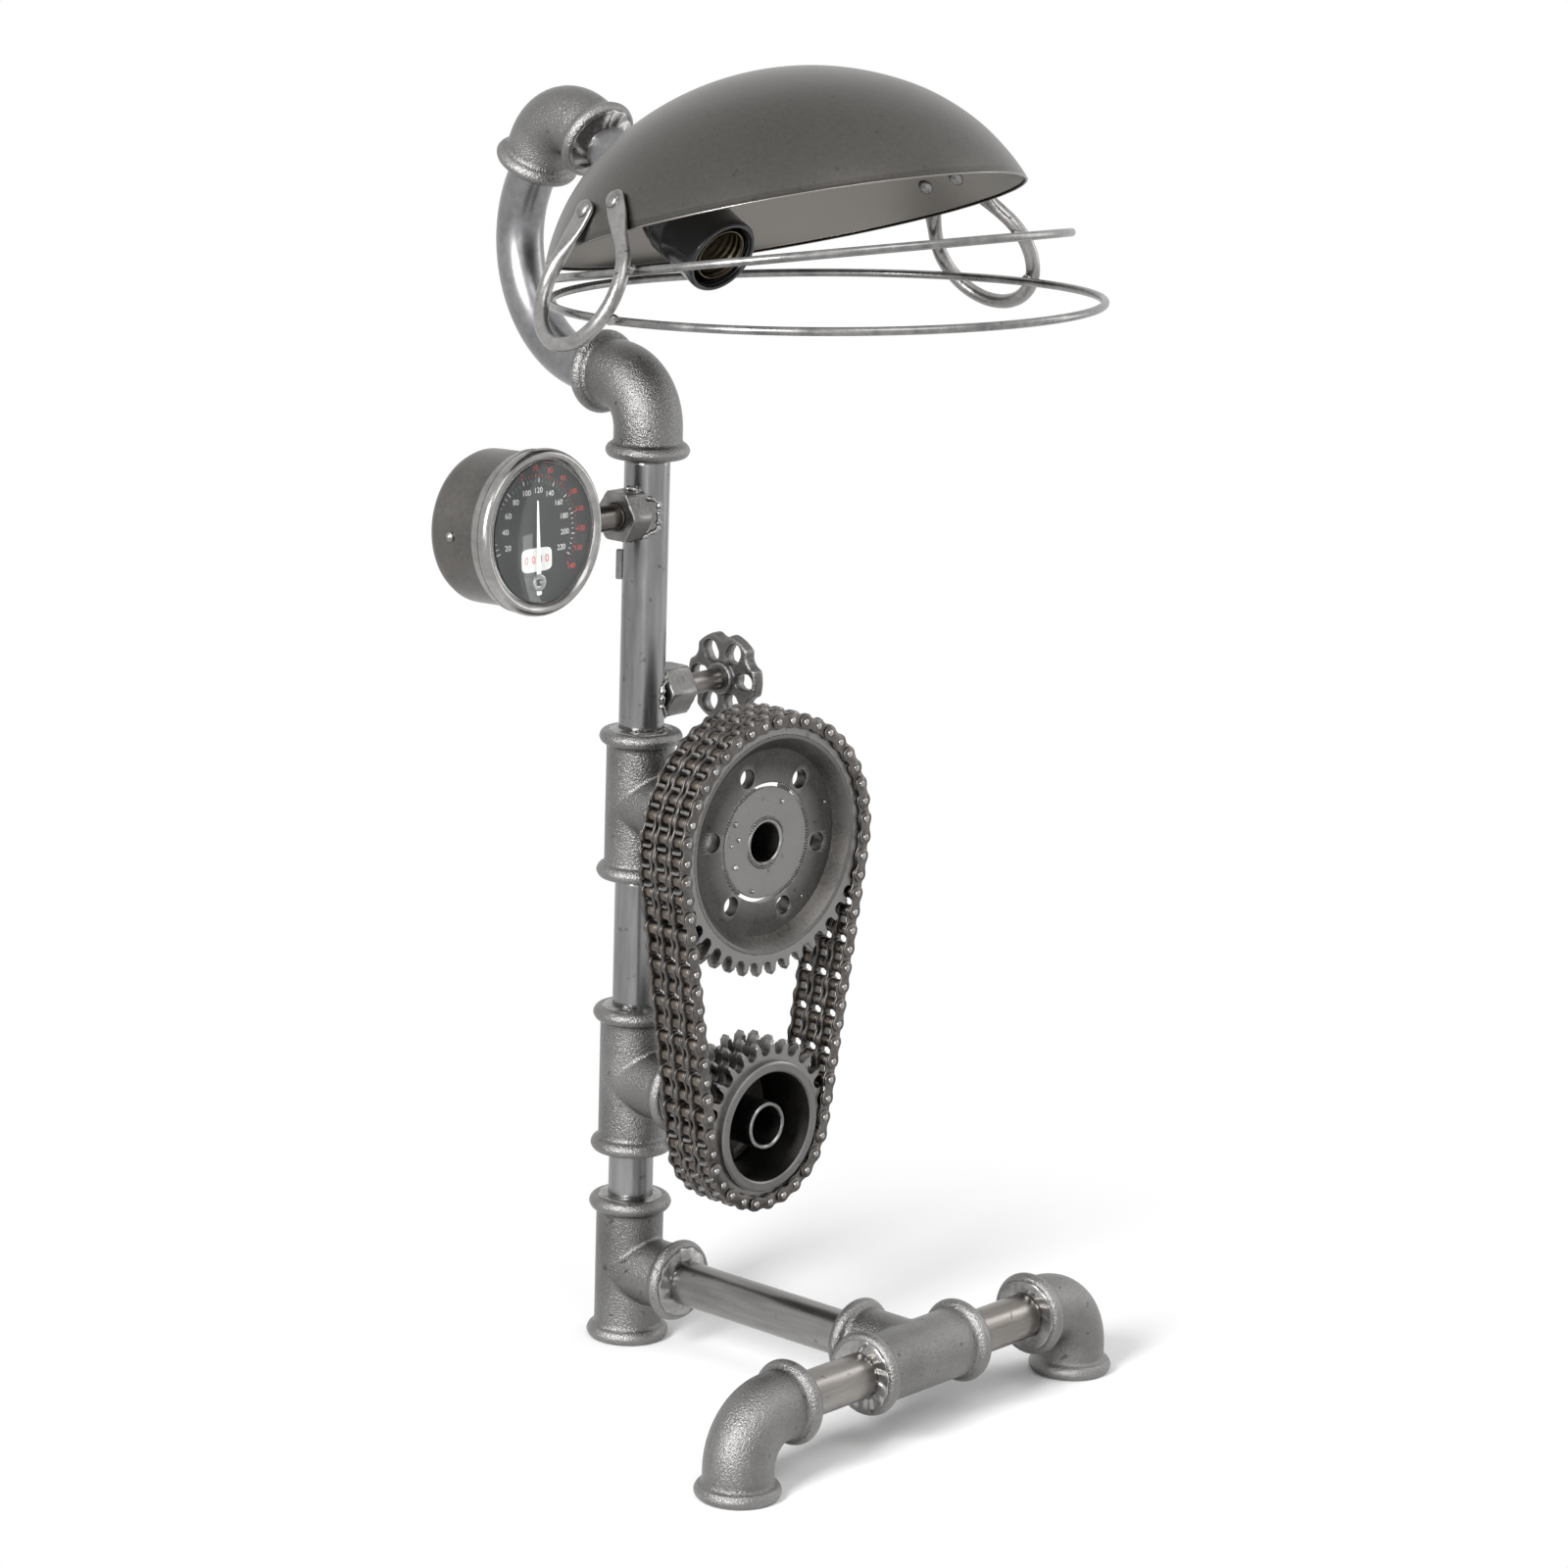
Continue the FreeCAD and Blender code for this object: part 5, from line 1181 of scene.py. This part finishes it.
def number(text, right, up, size):
    """A printed number, made a flat mesh and laid on the dial."""
    curve = bpy.data.curves.new("number", "FONT")
    curve.body = text
    curve.size = size
    curve.align_x = "CENTER"
    curve.align_y = "CENTER"
    curve.resolution_u = 3
    temp = bpy.data.objects.new("number", curve)
    bpy.context.scene.collection.objects.link(temp)
    bpy.context.view_layer.update()
    mesh = bpy.data.meshes.new_from_object(temp.evaluated_get(bpy.context.evaluated_depsgraph_get()))
    bpy.data.objects.remove(temp)
    bpy.data.curves.remove(curve)
    verts = [on_dial(right + v.co.x, up + v.co.y, LIFT) for v in mesh.vertices]
    faces = [tuple(p.vertices) for p in mesh.polygons]
    bpy.data.meshes.remove(mesh)
    return np.array(verts), faces


def tick(angle, r0, r1, width, centre=(0.0, 0.0)):
    """A short radial bar printed at an angle from straight up, clockwise."""
    out = np.array([math.sin(angle), math.cos(angle)])
    side = np.array([out[1], -out[0]]) * width / 2
    corners = [out * r0 - side, out * r1 - side, out * r1 + side, out * r0 + side]
    return np.array([on_dial(p[0] + centre[0], p[1] + centre[1], LIFT) for p in corners]), [(0, 1, 2, 3)]


dial_parts = {"white": [], "red": [], "green": []}
for k in range(11):
    angle = math.radians(-110 + 23.1 * k)
    dial_parts["white"].append(number(str(20 + 20 * k), 0.0188 * math.sin(angle),
        0.0188 * math.cos(angle) + 0.0006, 0.0037))
for k in range(41):
    angle = math.radians(-110 + 23.1 * k / 4)
    long = k % 4 == 0
    shade_name = "green" if 12 <= k <= 30 and not long else "white"
    dial_parts[shade_name].append(tick(angle, 0.0232, 0.0252 if long else 0.0245,
        0.00042 if long else 0.00028))
for k in range(9):
    angle = math.radians(-18 + 18.5 * k)
    dial_parts["red"].append(number(str(60 + 10 * k), 0.0294 * math.sin(angle), 0.0294 * math.cos(angle),
        0.0036))
for k in range(33):
    angle = math.radians(-18 + 18.5 * k / 4)
    dial_parts["red"].append(tick(angle, 0.0256, 0.0272 if k % 4 == 0 else 0.0266,
        0.00040 if k % 4 == 0 else 0.00026))
window = []
for k in range(32):
    t = 2 * math.pi * k / 32
    c = math.copysign(abs(math.cos(t)) ** 0.4, math.cos(t))
    s = math.copysign(abs(math.sin(t)) ** 0.4, math.sin(t))
    window.append(on_dial(0.0098 * c, -0.0132 + 0.0056 * s, LIFT * 0.6))
dial_parts["white"].append((np.array(window), [tuple(range(32))]))


def print_layer(name, parts, material):
    """Printed marks as one thin mesh that faces out of the dial."""
    obj = piece(name, *joined(parts), material, "gauge_face", smooth=False)
    bm = bmesh.new()
    bm.from_mesh(obj.data)
    for face in bm.faces:
        if face.normal.dot(Vector(gauge_out)) < 0:
            face.normal_flip()
    bm.to_mesh(obj.data)
    bm.free()
    return obj


print_layer("dial_white_marks", dial_parts["white"], white_ink)
print_layer("dial_green_marks", dial_parts["green"], green_ink)
LIFT = 0.00012
for k in range(4):
    dial_parts["red"].append(number("0", -0.0066 + 0.0044 * k, -0.0132, 0.0052))
print_layer("dial_red_marks", dial_parts["red"], red_ink)

# The needle swings on a pin low on the dial: a tapered white blade with a
# short tail and a turned silver hub.
needle_white = steel("needle_white", (0.70, 0.70, 0.69), (0.84, 0.84, 0.83), 0.42, 0.06, 400.0, 0.00002,
    150.0, metallic=0.0)
pin_line = [(0, 0.0), (0.0012, 0.0), (0.0012, 0.0031), (0.0010, 0.0034), (0.0005, 0.0035), (0, 0.0035)]
PIVOT = -0.024
pivot = on_dial(0, PIVOT)
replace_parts(turned("needle_axle", pin_line, pivot, gauge_out, bezel_metal, "needle", count=32),
    "needle_pin")
blade = []
for layer, lift in enumerate((0.0010, 0.0013, 0.0016)):
    for along, half in ((-0.0060, 0.0011), (-0.0056, 0.0016), (0.0, 0.0015), (0.0200, 0.00095), (0.0385,
        0.00035), (0.0390, 0.0001)):
        w = half * (0.8 if layer != 1 else 1.0)
        blade.append(on_dial(-w, PIVOT + along, lift))
        blade.append(on_dial(w, PIVOT + along, lift))
faces = []
for layer in range(2):
    for i in range(5):
        a = layer * 12 + 2 * i
        faces.append((a, a + 2, a + 14, a + 12))
        faces.append((a + 1, a + 13, a + 15, a + 3))
    a = layer * 12
    faces.append((a, a + 12, a + 13, a + 1))
    faces.append((a + 10, a + 11, a + 23, a + 22))
for i in range(5):
    faces.append((2 * i, 2 * i + 1, 2 * i + 3, 2 * i + 2))
    faces.append((24 + 2 * i, 26 + 2 * i, 27 + 2 * i, 25 + 2 * i))
needle = weld(piece("needle_blade", blade, faces, needle_white, "needle", "needle", smooth=False))
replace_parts(needle, "gauge_needle")
hub_line = [(0.00126, 0.0005), (0.0040, 0.0005), (0.0042, 0.0008), (0.0042, 0.0017), (0.0038, 0.0021),
    (0.0024, 0.0021), (0.0019, 0.0018), (0.00126, 0.0018)]
turned("needle_hub", hub_line, pivot, gauge_out, bezel_metal, "needle", "needle", count=48, closed=True)

# Nuts welded to the column carry the gauge on a short stem and the valve.
nut_steel = steel("nut_steel", (0.075, 0.072, 0.069), (0.15, 0.146, 0.141), 0.36, 0.07, 420.0, 0.00018,
    50.0, edge=0.25, pits=0.4)
STEM_Z = 0.430
verts, faces = hex_solid((0, -0.0090, STEM_Z), (0, -1, 0), 0.024, 0.0134, 0.00655, math.radians(30), 0.0012)
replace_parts(weld(piece("gauge_hexagon", verts, faces, nut_steel, "pipe_steel")), "gauge_nut")
stem = [(0, 0.0124), (0.0060, 0.0124), (0.0065, 0.0130)]
for k in range(34):
    y = 0.0232 + 0.0010 * k
    stem += [(0.0065, y), (0.0061, y + 0.0005)]
stem += [(0.0065, 0.0585), (0.0065, 0.0740), (0, 0.0740)]
gauge_stem = turned("gauge_stem_rod", stem, (0, 0, STEM_Z), (0, -1, 0), pipe_y, "pipe_steel", count=48)
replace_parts(gauge_stem, "gauge_stem")
VALVE_Z = 0.3375
verts, faces = hex_solid((0, 0.0090, VALVE_Z), (0, 1, 0), 0.024, 0.018, 0.00555, math.radians(30), 0.0012)
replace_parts(weld(piece("valve_hexagon", verts, faces, nut_steel, "pipe_steel")), "valve_nut")


def pipe_fillet(name, side, z, flats, seed):
    """Weld round a nut where it meets the column: a lumpy cord that follows
    the pipe's surface, y = side * sqrt(R^2 - x^2)."""
    rng = np.random.default_rng(seed)
    phase = rng.uniform(0, 6, 3)
    verts = []
    steps = 140
    for i in range(steps):
        a = 2 * math.pi * i / steps
        r = flats / 2 * (1.04 + 0.03 * math.sin(6 * a + phase[0]))
        x = min(max(r * math.cos(a), -0.0111), 0.0111)
        zz = r * math.sin(a)
        y = math.sqrt(max(0.0, PIPE_R ** 2 - x ** 2))
        size = 0.0014 * (1 + 0.28 * math.sin(19 * a + phase[1]) + 0.18 * math.sin(31 * a + phase[2]))
        centre = np.array([x, side * (y + 0.0002), z + zz])
        radial = np.array([math.cos(a), 0, math.sin(a)])
        for j in range(8):
            t = 2 * math.pi * j / 8
            verts.append(centre + radial * size * math.cos(t) + np.array([0, side * size * math.sin(t), 0]))
    return weld(piece(name, verts, grid_faces(steps, 8, True), weld_metal, "pipe_steel"))


pipe_fillet("gauge_nut_weld", -1, STEM_Z, 0.024, 31)
pipe_fillet("valve_nut_weld", 1, VALVE_Z, 0.024, 32)

# The valve turns: a stem with a collar, and a cast handwheel with six lobes
# and six holes.
stem = [(0, 0.0129), (0.0050, 0.0129), (0.0055, 0.0134), (0.0055, 0.0274), (0.0070, 0.0275), (0.0075,
    0.0280), (0.0075, 0.0310), (0.0070, 0.0315), (0.0055, 0.0316)]
for k in range(20):
    y = 0.0325 + 0.0011 * k
    stem += [(0.0055, y), (0.0051, y + 0.00055)]
stem += [(0.0055, 0.0552), (0.0055, 0.0628), (0.0050, 0.0634), (0, 0.0634)]
valve_stem = turned("valve_stem_rod", stem, (0, 0, VALVE_Z), (0, 1, 0), pipe_y, "pipe_steel", "valve",
    count=48)
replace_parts(valve_stem, "valve_stem")
wheel_iron = steel("wheel_iron", (0.060, 0.058, 0.057), (0.150, 0.145, 0.142), 0.42, 0.09, 700.0, 0.00030,
    45.0, edge=0.5, pits=0.5)


def wheel_rim(a):
    """Outline of the handwheel: 23.5 mm with six scallops between lobes."""
    gap = (a + math.pi / 6) % (math.pi / 3) - math.pi / 6
    reach = 0.0282 * math.cos(gap)
    inside = 0.0075 ** 2 - (0.0282 * math.sin(gap)) ** 2
    if inside <= 0:
        return 0.0235
    return min(0.0235, reach - math.sqrt(inside))


WHEEL_Y = 0.062
verts = []
around = 180
for y, shrink in ((-0.0035, 0.0016), (-0.0028, 0.0004), (-0.0015, 0.0), (0.0015, 0.0), (0.0028, 0.0004),
    (0.0035, 0.0016)):
    for i in range(around):
        a = 2 * math.pi * i / around
        r = wheel_rim(a + math.radians(30)) - shrink
        verts.append((r * math.cos(a), WHEEL_Y + y, VALVE_Z + r * math.sin(a)))
hub_line = [(0, 0.0560), (0.0078, 0.0560), (0.0085, 0.0567), (0.0088, 0.0600), (0.0088, 0.0650), (0.0083,
    0.0674), (0.0076, 0.0680), (0, 0.0680)]
wheel_parts = [(verts, capped(6, around)), lathe(hub_line, (0, 0, VALVE_Z), (0, 1, 0), 48)]
wheel = mesh_sum("handwheel_cast", wheel_parts, wheel_iron, "wheel_iron", "valve")
soften(wheel, 0.00055, 3)


def oval_tool(angle, centre, half, wide, length):
    """A stadium shaped cutter, long along the wheel's radius, that flares
    towards both faces."""
    verts = []
    for y, grow in ((-0.006, 0.0012), (-0.0036, 0.0010), (-0.0018, 0.0), (0.0018, 0.0), (0.0036, 0.0010),
        (0.006, 0.0012)):
        for k in range(40):
            t = 2 * math.pi * k / 40
            x = centre + math.copysign(length, math.cos(t)) + (half + grow) * math.cos(t)
            z = (wide + grow) * math.sin(t)
            verts.append((x * math.cos(angle) - z * math.sin(angle), WHEEL_Y + y,
                VALVE_Z + x * math.sin(angle) + z * math.cos(angle)))
    return weld(bare("tool", verts, capped(6, 40)))


hole_tools = [oval_tool(math.radians(60 * k), 0.0150, 0.0042, 0.0040, 0.0011) for k in range(6)]
carve(wheel, hole_tools)
wheel.data.polygons.foreach_set("use_smooth", [True] * len(wheel.data.polygons))
wheel.data.set_sharp_from_angle(angle=math.radians(45))
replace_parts(wheel, "handwheel")
knob = blob((0.0006, 0.0672, VALVE_Z + 0.0004), 0.0041, 77, (1.1, 0.45, 1.0))
mesh_sum("handwheel_weld", [knob], weld_metal, "wheel_iron", "valve")

# A short square strip is welded upright behind the column.
strip_turn = math.radians(215.0)
strip_out = np.array([math.cos(strip_turn), math.sin(strip_turn), 0])
strip_side = np.array([-math.sin(strip_turn), math.cos(strip_turn), 0])
verts = []
for z, shrink in ((0.3955, 0.0004), (0.3960, 0.0), (0.4100, 0.0), (0.4105, 0.0004)):
    for r, s in ((0.0115, -0.0015), (0.0121, -0.0015), (0.0141, -0.0015), (0.0145, -0.0011), (0.0145,
        0.0011), (0.0141, 0.0015), (0.0121, 0.0015), (0.0115, 0.0015)):
        q = strip_out * (r if r < 0.0118 else r - shrink) + strip_side * s * (1 - shrink / 0.0015)
        verts.append((q[0], q[1], z))
strip = weld(piece("welded_strip", verts, capped(4, 8), nut_steel, "pipe_steel", smooth=False))
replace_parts(strip, "column_strip")

# Studio: a floor that fades to white, a surround that the camera and the
# reflections see as white, a broad key lamp on the left and three weak ones.
floor = bare("floor", [(-40, -40, 0), (40, -40, 0), (40, 40, 0), (-40, 40, 0)], [(0, 1, 2, 3)])


def sees_white(tree):
    """1 for the rays that are to meet a white background: those of the
    camera, of reflections and through glass."""
    path = shader(tree, "LightPath")
    total = path.outputs["Is Camera Ray"]
    for kind in ("Is Glossy Ray", "Is Transmission Ray"):
        total = shader(tree, "Math", inputs={0: total, 1: path.outputs[kind]},
            operation="MAXIMUM").outputs[0]
    return total


floor_mat = bpy.data.materials.new("floor")
floor_mat.use_nodes = True
ft = floor_mat.node_tree
floor_bsdf = ft.nodes["Principled BSDF"]
floor_bsdf.inputs["Base Color"].default_value = (0.93, 0.93, 0.93, 1)
floor_bsdf.inputs["Roughness"].default_value = 0.9
floor_bsdf.inputs["Specular IOR Level"].default_value = 0.0
coords = shader(ft, "TexCoord")
away = shader(ft, "VectorMath", {1: (0.1, 0, 0)}, {0: coords.outputs["Object"]}, operation="DISTANCE")
fade = shader(ft, "MapRange", {"From Min": 0.14, "From Max": 0.42}, {"Value": away.outputs["Value"]},
    interpolation_type="SMOOTHSTEP")
share = shader(ft, "Math", inputs={0: fade.outputs["Result"], 1: sees_white(ft)}, operation="MULTIPLY")
plain = shader(ft, "Emission", {"Color": (1, 1, 1, 1), "Strength": 1.0})
blend = shader(ft, "MixShader", inputs={"Fac": share.outputs[0], 1: floor_bsdf.outputs["BSDF"],
    2: plain.outputs["Emission"]})
ft.links.new(blend.outputs["Shader"], ft.nodes["Material Output"].inputs["Surface"])
floor.data.materials.append(floor_mat)


def area(name, at, target, size, energy, size_y=None):
    """A soft rectangular lamp that looks at a point."""
    light = bpy.data.lights.new(name, "AREA")
    light.energy = energy
    light.size = size
    if size_y:
        light.shape = "RECTANGLE"
        light.size_y = size_y
    obj = bpy.data.objects.new(name, light)
    obj.location = at
    obj.rotation_euler = (Vector(target) - Vector(at)).to_track_quat("-Z", "Y").to_euler()
    bpy.context.scene.collection.objects.link(obj)
    return obj


area("key", (0.45, -2.0, 1.15), (0.05, 0, 0.3), 0.6, 62, 1.1)
area("top", (1.5, -0.4, 1.9), (0.05, 0, 0.3), 1.1, 11)
area("far_side", (0.9, 1.6, 0.9), (0.05, 0, 0.35), 0.5, 7, 1.6)
area("fill", (1.9, -2.1, 0.25), (0.05, 0, 0.25), 0.8, 4)
world = bpy.data.worlds.new("studio")
bpy.context.scene.world = world
world.use_nodes = True
wt = world.node_tree
back = wt.nodes["Background"]
back.inputs["Color"].default_value = (1, 1, 1, 1)
back.inputs["Strength"].default_value = 0.55
white = shader(wt, "Background", {"Color": (1, 1, 1, 1), "Strength": 1.0})
mix = shader(wt, "MixShader", inputs={"Fac": sees_white(wt), 1: back.outputs["Background"],
    2: white.outputs["Background"]})
wt.links.new(mix.outputs["Shader"], wt.nodes["World Output"].inputs["Surface"])

cam_data = bpy.data.cameras.new("camera")
cam_data.lens = 114.4
cam_data.sensor_width = 36
cam_data.clip_start = 0.05
cam = bpy.data.objects.new("camera", cam_data)
bpy.context.scene.collection.objects.link(cam)
look = Vector((-0.6422, 0.7307, -0.2315)).normalized()
right = look.cross(Vector((0, 0, 1))).normalized()
upward = right.cross(look)
roll_angle = math.radians(1.74)
right_r = right * math.cos(roll_angle) + upward * math.sin(roll_angle)
up_r = -right * math.sin(roll_angle) + upward * math.cos(roll_angle)
turn_m = Matrix((right_r, up_r, -look)).transposed()
cam.matrix_world = Matrix.Translation((1.6592, -1.7784, 0.8721)) @ turn_m.to_4x4()
bpy.context.scene.camera = cam
scene = bpy.context.scene
scene.render.engine = "CYCLES"
scene.view_settings.view_transform = "Standard"
scene.render.resolution_x = 1024
scene.render.resolution_y = 1024
scene.cycles.samples = 192
scene.cycles.use_denoising = True
